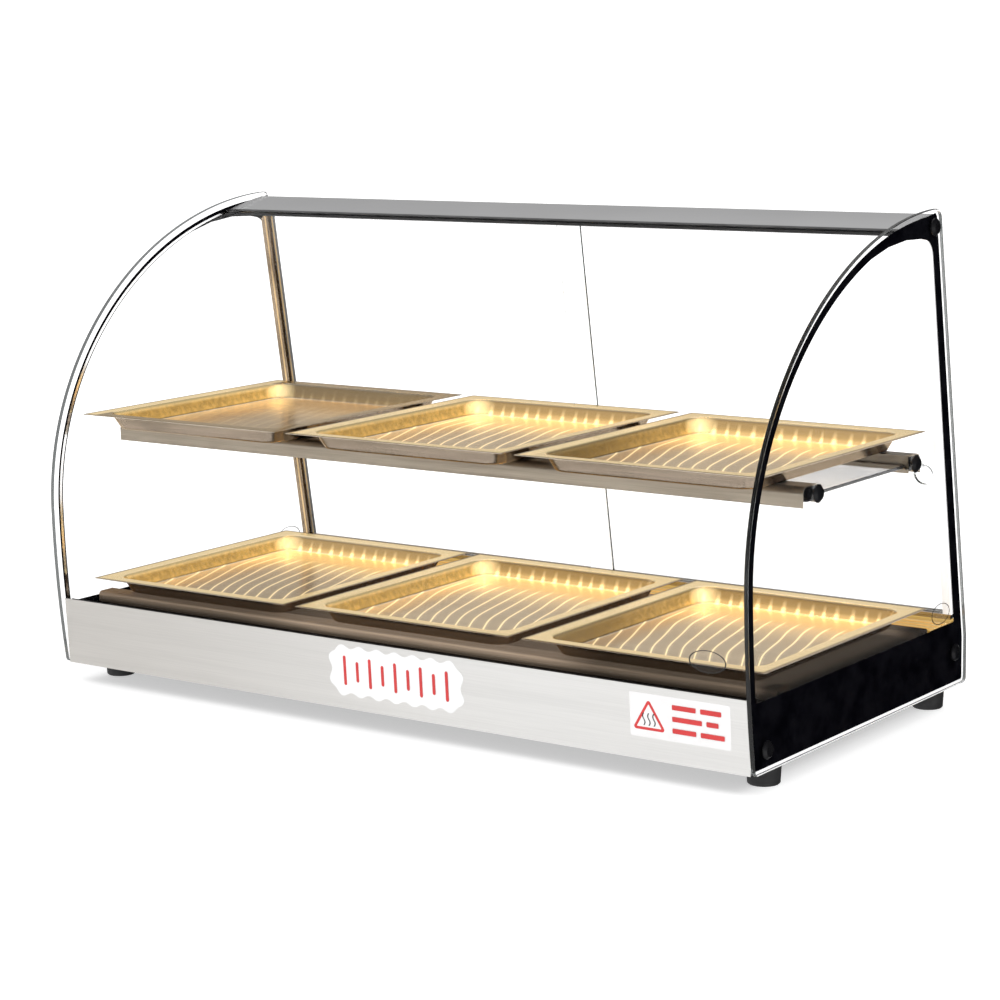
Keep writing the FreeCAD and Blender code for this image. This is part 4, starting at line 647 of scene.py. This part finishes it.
def pan_steel():
    """Brushed steel with painted lamp light: the fine light lines that the lamps draw over a pan's floor and
    rear wall, and golden and pale glows.
    """
    s = Shader("pan_steel", Metallic=1.0)
    spot = s.add("Attribute", attribute_name="pan_place").outputs["Vector"]
    x, y, z = s.parts(spot)
    along = s.stretched(spot, 12.0, 850.0, 850.0)
    grain = s.noise(along, 1.0, 3.0, 0.6)
    bands = s.noise(s.stretched(spot, 5.0, 130.0, 130.0), 1.0, 2.0)
    cloud = s.noise(spot, 7.0, 2.0)
    tone = s.math("ADD", s.math("MULTIPLY", grain, 0.5), s.math("MULTIPLY", bands, 0.5))
    tone = s.math("ADD", tone, s.math("MULTIPLY", s.math("SUBTRACT", cloud, 0.5), 0.35))
    inner = s.ramp(s.parts(s.add("NewGeometry").outputs["True Normal"])[2], 0.0, 0.12)
    # faces that look up and in get the lit steel, the outer faces a darker copy of it: painted shade
    lit_steel = s.mix(s.ramp(tone, 0.3, 0.7), (0.56, 0.49, 0.40), (0.76, 0.67, 0.56))
    shaded_steel = s.mix(s.ramp(tone, 0.3, 0.7), (0.255, 0.205, 0.155), (0.35, 0.285, 0.225))
    # the walls' gold is painted warm lamp light on the steel
    on_wall = s.math("MULTIPLY", s.ramp(z, 0.0015, 0.005), s.ramp(z, 0.021, 0.018, 0.0, 1.0))
    painted_gold_light = s.mix(s.math("MULTIPLY", on_wall, 0.75), lit_steel, (0.70, 0.52, 0.28))
    s.set(Base_Color=s.mix(inner, shaded_steel, painted_gold_light), Roughness=s.ramp(tone, 0.3, 0.7, 0.25, 0.16))
    mine = s.add("Attribute", attribute_name="lines").outputs["Fac"]
    column = s.add("Attribute", attribute_name="left_light").outputs["Fac"]
    edge_light = s.add("Attribute", attribute_name="rim_light").outputs["Fac"]
    # painted lines of lamp light on the floor leave the rear wall square to it and swing towards the right
    # at the front
    back = s.math("SUBTRACT", 0.142, y)
    swing = s.math("MULTIPLY", back, s.math("MULTIPLY_ADD", back, 0.756, 0.104))
    wobble = s.math("MULTIPLY", s.math("SUBTRACT", s.noise(spot, 9.0, 0.0), 0.5), 0.016)
    turn = s.math("MULTIPLY", s.math("ADD", s.math("SUBTRACT", x, swing), wobble), 1 / 0.0212)
    off = s.apart(s.math("FRACT", s.math("ADD", turn, 20.0)), 0.5)
    line = s.ramp(off, 0.014, 0.085, 1.0, 0.0)
    halo = s.ramp(off, 0.0, 0.28, 0.22, 0.0)
    on_floor = s.ramp(z, 0.0012, 0.003, 1.0, 0.0)
    in_front = s.product(on_floor, s.ramp(y, 0.130, 0.10, 0.0, 1.0))
    floor_lines = s.product(s.math("ADD", line, halo), in_front)
    # painted upright lines of lamp light on the rear wall, and painted glints at their feet
    jitter = s.product(s.noise(s.stretched(spot, 30.0, 1.0, 1.0), 1.0, 0.0), 0.6)
    count = s.math("ADD", s.math("MULTIPLY_ADD", x, 51.0, 20.25), jitter)
    upright = s.apart(s.math("FRACT", count), 0.5)
    wall = s.product(s.ramp(z, 0.018, 0.008, 0.0, 1.0), s.ramp(z, 0.0012, 0.003),
                     s.ramp(y, 0.158, 0.168))
    wall_lines = s.product(s.ramp(upright, 0.03, 0.20, 1.0, 0.0), wall)
    near_foot = s.ramp(s.apart(y, 0.1735), 0.0015, 0.0085, 1.0, 0.0)
    foot = s.product(near_foot, s.ramp(upright, 0.03, 0.26, 1.0, 0.18),
                     s.ramp(z, 0.004, 0.009, 1.0, 0.0))
    glow = s.math("ADD", s.product(floor_lines, 0.62),
                  s.math("ADD", s.product(wall_lines, 0.34), s.product(foot, 0.85)))
    glow = s.product(glow, mine)
    # golden light gathers at the rear and low on the walls
    below = s.ramp(z, 0.021, 0.016, 0.0, 1.0)
    rear = s.product(s.ramp(y, 0.020, 0.160, 0.0, 0.52), below, s.ramp(z, 0.003, 0.014, 1.0, 0.55),
                     s.ramp(mine, 0.1, 1.0, 0.15, 1.0))
    deeper = s.math("MAXIMUM", s.ramp(column, 0.3, 0.8), s.ramp(y, -0.13, 0.15, 0.45, 1.25))
    side = s.product(s.ramp(s.math("ABSOLUTE", x), 0.134, 0.143), s.ramp(z, 0.001, 0.011, 0.72, 0.50),
                     s.ramp(column, 0.25, 0.85, 0.72, 1.0), deeper,
                     s.ramp(bands, 0.35, 0.65, 0.82, 1.15))
    front = s.ramp(y, -0.150, -0.172, 0.0, 0.38)
    walls = s.product(s.math("MAXIMUM", side, front), s.product(below, s.ramp(z, 0.0016, 0.004)))
    golden = s.math("MAXIMUM", rear, walls)
    # paler light lies on the rim, the top of the left wall and the left of the floor
    left = s.product(s.ramp(x, -0.142, -0.080, 0.24, 0.0), on_floor, column)
    inset = s.math("MINIMUM", s.math("SUBTRACT", 0.170, s.math("ABSOLUTE", x)),
                   s.math("SUBTRACT", 0.202, s.math("ABSOLUTE", y)))
    left_rim = s.product(s.ramp(x, -0.150, -0.147, 0.52, 0.0), s.ramp(y, 0.06, 0.14, 1.0, 0.75))
    rim = s.product(s.ramp(z, 0.0185, 0.0215), s.ramp(inset, 0.0015, 0.007),
                    s.math("MAXIMUM", edge_light, left_rim))
    crown = s.product(s.ramp(z, 0.010, 0.0195), s.ramp(x, -0.1455, -0.1475),
                      s.ramp(z, 0.0205, 0.0215, 1.0, 0.0), s.product(column, 0.40))
    # a painted highlight in the rear-left corner
    to_corner = s.add("VectorMath", {0: spot, 1: (-0.138, 0.168, 0.011)}, operation="DISTANCE")
    corner = s.product(s.ramp(to_corner.outputs["Value"], 0.004, 0.028, 0.80, 0.0),
                       s.ramp(z, 0.019, 0.021, 1.0, 0.15), s.ramp(z, 0.0015, 0.005, 0.08, 1.0))
    pale = s.math("MAXIMUM", s.math("MAXIMUM", left, rim), s.math("MAXIMUM", crown, corner))
    # a faint painted glow over the whole floor
    plain = s.product(on_floor, s.ramp(column, 0.86, 1.0, 0.18, 0.11))
    cream = s.math("ADD", glow, s.math("ADD", pale, plain))
    total = s.math("ADD", cream, golden)
    share = s.math("DIVIDE", cream, s.math("MAXIMUM", total, 0.001), clamp=True)
    plain_share = s.math("DIVIDE", plain, s.math("MAXIMUM", cream, 0.001), clamp=True)
    pale_tint = s.mix(plain_share, (1.0, 0.78, 0.40), (1.0, 0.84, 0.64))
    s.set(Emission_Color=s.mix(share, (1.0, 0.58, 0.15), pale_tint),
          Emission_Strength=s.product(total, inner))
    # a golden tint in the reflections: painted warm lamp light
    s.set(Specular_Tint=(0.84, 0.72, 0.56))
    s.bump(tone, 0.05, 0.0002)
    return s.mat


M_PAN = pan_steel()


def loop_of(half_x, half_y, radius, corner_steps=9, side_steps=6):
    """A rounded rectangle with the same number of points whatever its size."""
    made = []
    for k, (sx, sy) in enumerate(((1, -1), (1, 1), (-1, 1), (-1, -1))):
        cx, cy = (half_x - radius) * sx, (half_y - radius) * sy
        for i in range(corner_steps + 1):
            angle = math.radians(-90 + 90 * k + 90 * i / corner_steps)
            made.append(Vector((cx + radius * math.cos(angle), cy + radius * math.sin(angle))))
        nx, ny = ((1, 1), (-1, 1), (-1, -1), (1, -1))[k]
        following = Vector(((half_x - radius) * nx, (half_y - radius) * ny))
        angle = math.radians(90 * k)
        end = following + radius * Vector((math.cos(angle), math.sin(angle)))
        start = made[-1].copy()
        for i in range(1, side_steps):
            made.append(start.lerp(end, i / side_steps))
    return made


def pan_profile():
    """(inset, height, corner radius) of each ring from the rim's outer edge to the floor, in mm."""
    high, draft, floor_high = 22.0, 6.0, 1.0
    rim, wall_inset, bend = 18.5, 22.0, 3.5
    rings = [(0.0, 21.3, 2.5), (0.15, 21.8, 2.6), (0.6, high, 3.0), (6.0, high, 9.0),
             (12.0, high, 17.0), (rim, high, 25.0)]
    slope = math.atan2(high, draft)
    for i in range(1, 6):
        turn = slope * i / 5
        rings.append((rim + bend * math.sin(turn), high - bend * (1 - math.cos(turn)), 25.5 - 0.3 * i))
    fillet = 4.5
    low_inset = wall_inset + draft * (high - floor_high) / high + 1.2
    for i in range(7):
        turn = slope * (1 - i / 6)
        inset = low_inset + fillet * 0.9 - fillet * math.sin(turn)
        rings.append((inset, floor_high + fillet * (1 - math.cos(turn)), 24.0 - 0.5 * i))
    rings += [(low_inset + 10, floor_high, 19.0), (low_inset + 40, floor_high, 12.0),
              (low_inset + 80, 1.05, 8.0)]
    return rings


def pan(node):
    low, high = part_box(node)
    centre = (low + high) / 2
    half_x, half_y = (high.x - low.x) / 2, (high.y - low.y) / 2
    verts, faces = [], []
    for inset, height, radius in pan_profile():
        ring = loop_of(half_x - inset * MM, half_y - inset * MM, radius * MM)
        size = len(ring)
        verts += [(p.x, p.y, height * MM) for p in ring]
    rings = len(verts) // size
    for r in range(rings - 1):
        for i in range(size):
            j = (i + 1) % size
            a, b = r * size, (r + 1) * size
            faces.append([a + i, a + j, b + j, b + i])
    faces.append([(rings - 1) * size + i for i in range(size)])
    placed = [(x + centre.x, y + centre.y, z + low.z) for x, y, z in verts]
    thing = piece(node + "_pressed", placed, faces, [M_PAN], body=node, slot="pan_steel", smooth=40,
                  stands_for=(node,))
    mesh = thing.data
    spot = mesh.attributes.new("pan_place", "FLOAT_VECTOR", "POINT")
    spot.data.foreach_set("vector", [c for v in verts for c in v])
    tier, _, column = node.split("_")
    # how strong the painted lamp light is on each pan: its lines, the glow of its left side and of its rim
    dim = node == "upper_pan_left"
    for label, value in (("lines", 0.12 if dim else 1.0),
                         ("left_light", {"left": 1.0, "centre": 0.85, "right": 0.25}[column]),
                         ("rim_light", 0.06 if dim else {"upper": 0.44, "lower": 0.50}[tier])):
        share = mesh.attributes.new(label, "FLOAT", "POINT")
        share.data.foreach_set("value", [value] * len(verts))
    thick = thing.modifiers.new("sheet", "SOLIDIFY")
    thick.thickness = 0.9 * MM
    thick.offset = -1.0


for tier in ("upper", "lower"):
    for column in ("left", "centre", "right"):
        pan(f"{tier}_pan_{column}")


# ---------------------------------------------------------------- stickers and marks

M_LABEL = painted("label_white", (0.86, 0.86, 0.86), 0.35, 0.02, spread=0.02)
M_LABEL_CLEAR = painted("label_film", (0.80, 0.79, 0.79), 0.35, 0.02, spread=0.02)
M_PRINT_RED = painted("print_red", (0.60, 0.035, 0.035), 0.4, 0.02, spread=0.05)
M_PRINT_DARK = painted("print_dark", (0.02, 0.02, 0.022), 0.4, 0.02, spread=0.05)
M_PRINT_WHITE = painted("print_white", (0.75, 0.75, 0.75), 0.4, 0.02, spread=0.05)


def etched(name, colour, cover):
    s = Shader(name, Base_Color=colour, Roughness=0.5, Alpha=cover)
    speck = s.noise(s.place(), 1800.0, 2.0)
    s.set(Base_Color=s.mix(s.ramp(speck, 0.3, 0.7), colour, tuple(c * 0.6 for c in colour)))
    return s.mat


M_ETCH_LINE = etched("etched_line", (0.012, 0.012, 0.012), 0.92)
M_ETCH_FAINT = etched("etched_faint", (0.30, 0.30, 0.30), 0.07)


def depth_at(node, x, z, start, way, otherwise):
    """Y of a node's surface at X and Z, met from a start depth along Y, or a depth to use instead."""
    thing = nodes[node]
    back = thing.matrix_world.inverted()
    hit, where, _, _ = thing.ray_cast(back @ Vector((x, start, z)), back.to_3x3() @ Vector((0, way, 0)))
    return (thing.matrix_world @ where).y if hit else otherwise


def fascia_place(x, z, lift):
    return Vector((x, depth_at("fascia", x, z, -0.4, 1, -0.262) - lift, z))


def layered(name, layers, place, step=0.05 * MM, lift=0.08 * MM):
    """Flat shapes laid over each other. place(x, z, lift) puts a point of the drawing on the part."""
    verts, faces, picks, mats = [], [], [], []
    for level, (loop, mat) in enumerate(layers):
        if mat not in mats:
            mats.append(mat)
        loop = [(x * MM, z * MM) for x, z in loop]
        points, tris = triangles(loop if area(loop) > 0 else loop[::-1])
        start = len(verts)
        verts += [place(x, z, lift + step * level) for x, z in points]
        for tri, _, _ in tris:
            faces.append([start + i for i in tri])
            picks.append(mats.index(mat))
    return piece(name, verts, faces, mats, picks=picks)


def capsule(x0, z0, x1, z1, thick, steps=8):
    """A bar with round ends between two points."""
    along = Vector((x1 - x0, z1 - z0)).normalized()
    start = math.atan2(along.y, along.x)
    made = []
    for cx, cz, turn in ((x1, z1, start - math.pi / 2), (x0, z0, start + math.pi / 2)):
        for i in range(steps + 1):
            angle = turn + math.pi * i / steps
            made.append((cx + thick / 2 * math.cos(angle), cz + thick / 2 * math.sin(angle)))
    return made


def plain_label():
    """A white die-cut label with an even row of plain bars."""
    smooth = rounded([(-73, 47), (133, 47), (133, 109), (-73, 109)], [18.0] * 4, 12)
    corners = [Vector(p) for p in smooth]
    lengths = [(b - a).length for a, b in zip(corners, corners[1:] + corners[:1])]
    whole, outline = sum(lengths), []
    for k in range(180):
        walked, i = whole * k / 180, 0
        while walked > lengths[i]:
            walked -= lengths[i]
            i += 1
        a, b = corners[i], corners[(i + 1) % len(corners)]
        out = Vector((b.y - a.y, a.x - b.x)).normalized()
        wave = 2.4 * math.cos(18 * 2 * math.pi * k / 180)
        outline.append(tuple(a.lerp(b, walked / lengths[i]) + out * wave))
    layers = [(outline, M_LABEL)]
    for i in range(9):
        x, tall = 30 + 20 * (i - 4), (34, 22)[i % 2]
        layers.append((capsule(x, 78 - tall / 2, x, 78 + tall / 2, 4.6), M_PRINT_RED))
    layered("front_label", layers, fascia_place)


def heat_label():
    """A film label with a red triangle round three wavy lines, and plain bars beside it."""
    corners = [(379.0, 64.0), (425.0, 64.0), (402.0, 102.0)]
    layers = [(rounded([(376, 55), (512, 55), (512, 108), (376, 108)], [1.5] * 4, 3), M_LABEL_CLEAR),
              (rounded(corners, [3.0] * 3, 5), M_PRINT_RED),
              (rounded(moved_in(corners, 3.4), [0.6] * 3, 3), M_LABEL_CLEAR)]
    for x in (395.0, 402.0, 409.0):
        left, right = [], []
        for i in range(13):
            z = 69.5 + 15.0 * i / 12
            swing = x + 1.5 * math.sin(2 * math.pi * i / 12)
            left.append((swing - 0.8, z))
            right.append((swing + 0.8, z))
        layers.append((right + left[::-1], M_PRINT_DARK))
    for z, parts in ((96.0, ((434, 466), (472, 500))), (82.0, ((434, 474), (480, 496))),
                     (68.0, ((434, 466), (472, 504)))):
        for low_x, high_x in parts:
            bar = [(low_x, z - 3), (high_x, z - 3), (high_x, z + 3), (low_x, z + 3)]
            layers.append((rounded(bar, [1.0] * 4, 2), M_PRINT_RED))
    layered("heat_label", layers, fascia_place)


def oval_mark(name, centre, place, half=(25.0, 13.5)):
    """A plain tempering mark: an oval line round a faint field with two faint bars."""
    cx, cz = centre
    ring = lambda scale: [(cx + half[0] * scale * math.cos(a), cz + half[1] * scale * math.sin(a))
                          for a in (2 * math.pi * i / 56 for i in range(56))]
    outer, inner = ring(1.0), ring(0.925)
    verts = [place(x * MM, z * MM, 0.06 * MM) for x, z in outer + inner]
    faces = [[i, (i + 1) % 56, 56 + (i + 1) % 56, 56 + i] for i in range(56)]
    picks = [0] * 56
    for loop in (inner, capsule(cx - 11, cz + 3.2, cx + 11, cz + 3.2, 3.0),
                 capsule(cx - 8, cz - 3.6, cx + 8, cz - 3.6, 3.0)):
        start = len(verts)
        lift = 0.06 if loop is inner else 0.12
        verts += [place(x * MM, z * MM, lift * MM) for x, z in loop]
        faces.append([start + i for i in range(len(loop))])
        picks.append(1)
    return piece(name, verts, faces, [M_ETCH_LINE, M_ETCH_FAINT], picks=picks)


def on_front(x, z, lift):
    drop = BOW_Z - z / MM
    front = BOW_Y - BOW_LONG + 10 + TOE_RADIUS - math.sqrt(TOE_RADIUS ** 2 - drop ** 2)
    return Vector((x, front * MM - lift, z))


def on_panel(x, z, lift):
    return Vector((x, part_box("rear_panel")[1].y + lift, z))


DIAL_X, DIAL_Z = -420, 72


def dial_scale():
    """Tick marks round the thermostat knob, longer at each third one, and a gap at the off place."""
    layers = []
    for i in range(10):
        angle = math.radians(-135 + 30 * i)
        far = 27.5 if i % 3 == 0 else 25.5
        c, s = math.sin(angle), math.cos(angle)
        tick = capsule(DIAL_X + 22.5 * c, DIAL_Z + 22.5 * s, DIAL_X + far * c, DIAL_Z + far * s, 0.9, 4)
        layers.append((tick, M_PRINT_DARK))
    layers.append((circle(-437.5, 50.0, 1.5, 16), M_PRINT_DARK))
    layered("dial_scale", layers, on_panel)


PRINT_LIFT = 0.12 * MM


def rocker_marks(name, node, body):
    """A bar and a ring, moulded in white on the two halves of a rocker."""
    low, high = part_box(node)
    cx, cz, tall = (low.x + high.x) / 2, (low.z + high.z) / 2, high.z - low.z

    def on_rocker(x, z, lift):
        return Vector((x, depth_at(node, x, z, 0.35, -1, high.y) + lift, z))

    verts, faces = [], []
    bar_z, ring_z = cz + tall * 0.27, cz - tall * 0.27
    bar = capsule(cx / MM, bar_z / MM - 1.8, cx / MM, bar_z / MM + 1.8, 0.9, 4)
    verts += [on_rocker(x * MM, z * MM, PRINT_LIFT) for x, z in bar]
    faces.append(list(range(len(bar)))[::-1])
    start = len(verts)
    for radius in (2.0, 1.3):
        ring = circle(cx / MM, ring_z / MM, radius, 20)
        verts += [on_rocker(x * MM, z * MM, PRINT_LIFT) for x, z in ring]
    for i in range(20):
        j = (i + 1) % 20
        faces.append([start + i, start + j, start + 20 + j, start + 20 + i][::-1])
    piece(name, verts, faces, [M_PRINT_WHITE], body=body)


def pointer_line():
    """The white line on the knob's face."""
    low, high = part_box("thermostat_knob")
    cx, cz, reach = (low.x + high.x) / 2, (low.z + high.z) / 2, (high.z - low.z) / 2
    verts = []
    for z in [cz + reach * (0.30 + 0.60 * i / 8) for i in range(9)]:
        for x in (cx - 0.6 * MM, cx + 0.6 * MM):
            verts.append((x, depth_at("thermostat_knob", x, z, 0.35, -1, high.y) + 0.1 * MM, z))
    faces = [[2 * i, 2 * i + 2, 2 * i + 3, 2 * i + 1] for i in range(8)]
    piece("knob_line", verts, faces, [M_PRINT_WHITE], body="dial")


def soften(node, width):
    bevel = nodes[node].modifiers.new("soft_edges", "BEVEL")
    bevel.width = width * MM
    bevel.segments = 2
    bevel.limit_method = "ANGLE"
    bevel.angle_limit = math.radians(35)
    bevel.harden_normals = False


for node, width in (("foot_front_left", 0.8), ("foot_front_right", 0.8), ("foot_rear_left", 0.8),
                    ("foot_rear_right", 0.8), ("rail_end_plugs", 0.8), ("thermostat_knob", 0.6),
                    ("power_switch_frame", 0.5), ("light_switch_frame", 0.5), ("power_switch_rocker", 0.4),
                    ("light_switch_rocker", 0.4), ("pilot_lamp", 0.4), ("cord_gland", 0.5),
                    ("base_cheek_left", 0.6), ("base_cheek_right", 0.6), ("fascia", 0.3), ("rear_sill", 0.3),
                    ("top_beam", 0.5), ("glass_bolts", 0.9), ("shelf_rail_front", 0.25),
                    ("shelf_rail_rear", 0.25)):
    soften(node, width)

dial_scale()
rocker_marks("power_marks", "power_switch_rocker", "power_rocker")
rocker_marks("light_marks", "light_switch_rocker", "light_rocker")
pointer_line()
plain_label()
heat_label()
oval_mark("front_mark", (482, 155.5), on_front)
oval_mark("right_mark", (199, 131), lambda y, z, lift: Vector((PANE_OUT + lift, y, z)))
oval_mark("left_mark", (215, 125), lambda y, z, lift: Vector((-PANE_OUT - lift, y, z)))


# ---------------------------------------------------------------- camera, floor and lamps

def camera():
    data = bpy.data.cameras.new("camera")
    data.lens = 95.8
    data.sensor_width = 36.0
    data.clip_start = 0.05
    thing = bpy.data.objects.new("camera", data)
    scene.collection.objects.link(thing)
    yaw, pitch, roll = (math.radians(a) for a in (36.05, 9.97, -1.09))
    back = Vector((math.sin(yaw) * math.cos(pitch), -math.cos(yaw) * math.cos(pitch), math.sin(pitch)))
    right = (-back).cross(Vector((0, 0, 1))).normalized()
    up = back.cross(right)
    turned_right = math.cos(roll) * right + math.sin(roll) * up
    turned_up = -math.sin(roll) * right + math.cos(roll) * up
    turn = Matrix((turned_right, turned_up, back)).transposed().to_4x4()
    thing.matrix_world = Matrix.Translation((2.022, -2.770, 0.862)) @ turn
    scene.camera = thing


def floor():
    s = Shader("pale_floor", Roughness=0.9, Specular_IOR_Level=0.1)
    drift = s.noise(s.place(), 0.6, 1.0)
    reach_out = s.add("VectorMath", {0: s.place()}, operation="LENGTH").outputs["Value"]
    s.set(Base_Color=s.mix(s.ramp(drift, 0.3, 0.7), (0.72, 0.72, 0.72), (0.75, 0.75, 0.75)),
          Emission_Color=(1.0, 1.0, 1.0), Emission_Strength=s.ramp(reach_out, 0.9, 2.2, 0.52, 0.80))
    mesh = bpy.data.meshes.new("floor")
    reach = 40.0
    mesh.from_pydata([(-reach, -reach, 0), (reach, -reach, 0), (reach, reach, 0), (-reach, reach, 0)], [],
                     [(0, 1, 2, 3)])
    mesh.materials.append(s.mat)
    thing = bpy.data.objects.new("floor", mesh)
    scene.collection.objects.link(thing)
    thing.visible_glossy = False


def lamp(name, place, target, wide, deep, watts, colour=(1, 1, 1), glossy=True, spread=180.0):
    data = bpy.data.lights.new(name, "AREA")
    data.shape = "RECTANGLE"
    data.size, data.size_y = wide, deep
    data.energy = watts
    data.color = colour
    thing = bpy.data.objects.new(name, data)
    scene.collection.objects.link(thing)
    away = (Vector(place) - Vector(target)).normalized()
    side = Vector((1, 0, 0)) - away * away.x
    side = side.normalized() if side.length > 0.1 else Vector((0, 1, 0))
    up = away.cross(side)
    thing.matrix_world = Matrix.Translation(place) @ Matrix((side, up, away)).transposed().to_4x4()
    data.spread = math.radians(spread)
    thing.visible_camera = False
    thing.visible_transmission = False
    thing.visible_glossy = glossy


SKY_WHITE, SKY_SOFT = 1.12, 0.80


def world():
    made = bpy.data.worlds.new("studio")
    scene.world = made
    made.use_nodes = True
    tree = made.node_tree
    tree.nodes.clear()
    out = tree.nodes.new("ShaderNodeOutputWorld")
    sky = tree.nodes.new("ShaderNodeBackground")
    tree.links.new(sky.outputs[0], out.inputs[0])
    path = tree.nodes.new("ShaderNodeLightPath")
    spot = tree.nodes.new("ShaderNodeTexCoord")
    split = tree.nodes.new("ShaderNodeSeparateXYZ")
    tree.links.new(spot.outputs["Generated"], split.inputs[0])

    def calc(operation, a, b=0.0, c=0.0):
        made = tree.nodes.new("ShaderNodeMath")
        made.operation = operation
        for socket, value in zip(made.inputs, (a, b, c)):
            feed(tree, socket, value)
        return made.outputs[0]

    def ease(value, low, high, low_to, high_to):
        made = tree.nodes.new("ShaderNodeMapRange")
        made.interpolation_type = "SMOOTHSTEP"
        for socket, number in zip(list(made.inputs)[:5], (value, low, high, low_to, high_to)):
            feed(tree, socket, number)
        return made.outputs[0]

    x, y, z = split.outputs
    # a dark card stands at the right rear, and the sides are dimmer than the back wall
    card = calc("ADD", calc("MULTIPLY", x, 0.62), calc("MULTIPLY", y, 0.55))
    shade = ease(card, 0.25, 0.58, 1.0, 0.0)
    behind = ease(y, -0.15, 0.30, 0.0, 1.0)
    rear = ease(z, 0.30, 0.80, 0.42, 0.85)
    front = ease(z, -0.10, 0.10, 0.92, 0.28)
    split_sum = calc("ADD", calc("MULTIPLY", behind, rear),
                     calc("MULTIPLY", calc("SUBTRACT", 1.0, behind), front))
    gloss = calc("MULTIPLY", shade, split_sum)
    # white where it is looked at, also through glass; the gradient in reflections; even for soft light
    mirrored = calc("GREATER_THAN", path.outputs["Glossy Depth"], 0.5)
    scattered = calc("GREATER_THAN", path.outputs["Diffuse Depth"], 0.5)
    looked_at = calc("ADD", SKY_WHITE, calc("MULTIPLY", mirrored, calc("SUBTRACT", gloss, SKY_WHITE)))
    total = calc("ADD", looked_at, calc("MULTIPLY", scattered, calc("SUBTRACT", SKY_SOFT, looked_at)))
    tree.links.new(total, sky.inputs["Strength"])
    sky.inputs["Color"].default_value = (1, 1, 1, 1)
    made.cycles.sampling_method = "NONE"


camera()
floor()
world()
lamp("key", (-1.6, -2.6, 3.2), (0, 0, 0.3), 2.6, 2.0, 42.0, glossy=False)
lamp("fill", (2.6, -1.2, 2.2), (0, 0, 0.3), 1.8, 1.6, 16.0, glossy=False)
lamp("back", (0.5, 3.0, 2.6), (0, 0, 0.4), 2.4, 1.6, 26.0, glossy=False)
WARM = (1.0, 0.66, 0.27)
lamp("led_top", (0, 0.113, 0.6105), (0, 0.090, 0.3), 1.0, 0.010, 4.0, WARM, spread=50.0)
lamp("led_shelf", (0, 0.133, 0.3325), (0, 0.100, 0.1), 1.0, 0.012, 3.0, WARM, spread=65.0)
lamp("spark", (2.3, -1.3, 1.7), (0.5, 0, 0.3), 0.6, 0.6, 12.0)

scene.view_settings.view_transform = "Standard"
scene.view_settings.look = "None"
scene.cycles.max_bounces = 24
scene.cycles.transmission_bounces = 20
scene.cycles.glossy_bounces = 5
scene.cycles.diffuse_bounces = 3
scene.cycles.transparent_max_bounces = 32
scene.cycles.sample_clamp_indirect = 4.0
scene.cycles.caustics_reflective = False
scene.cycles.caustics_refractive = False
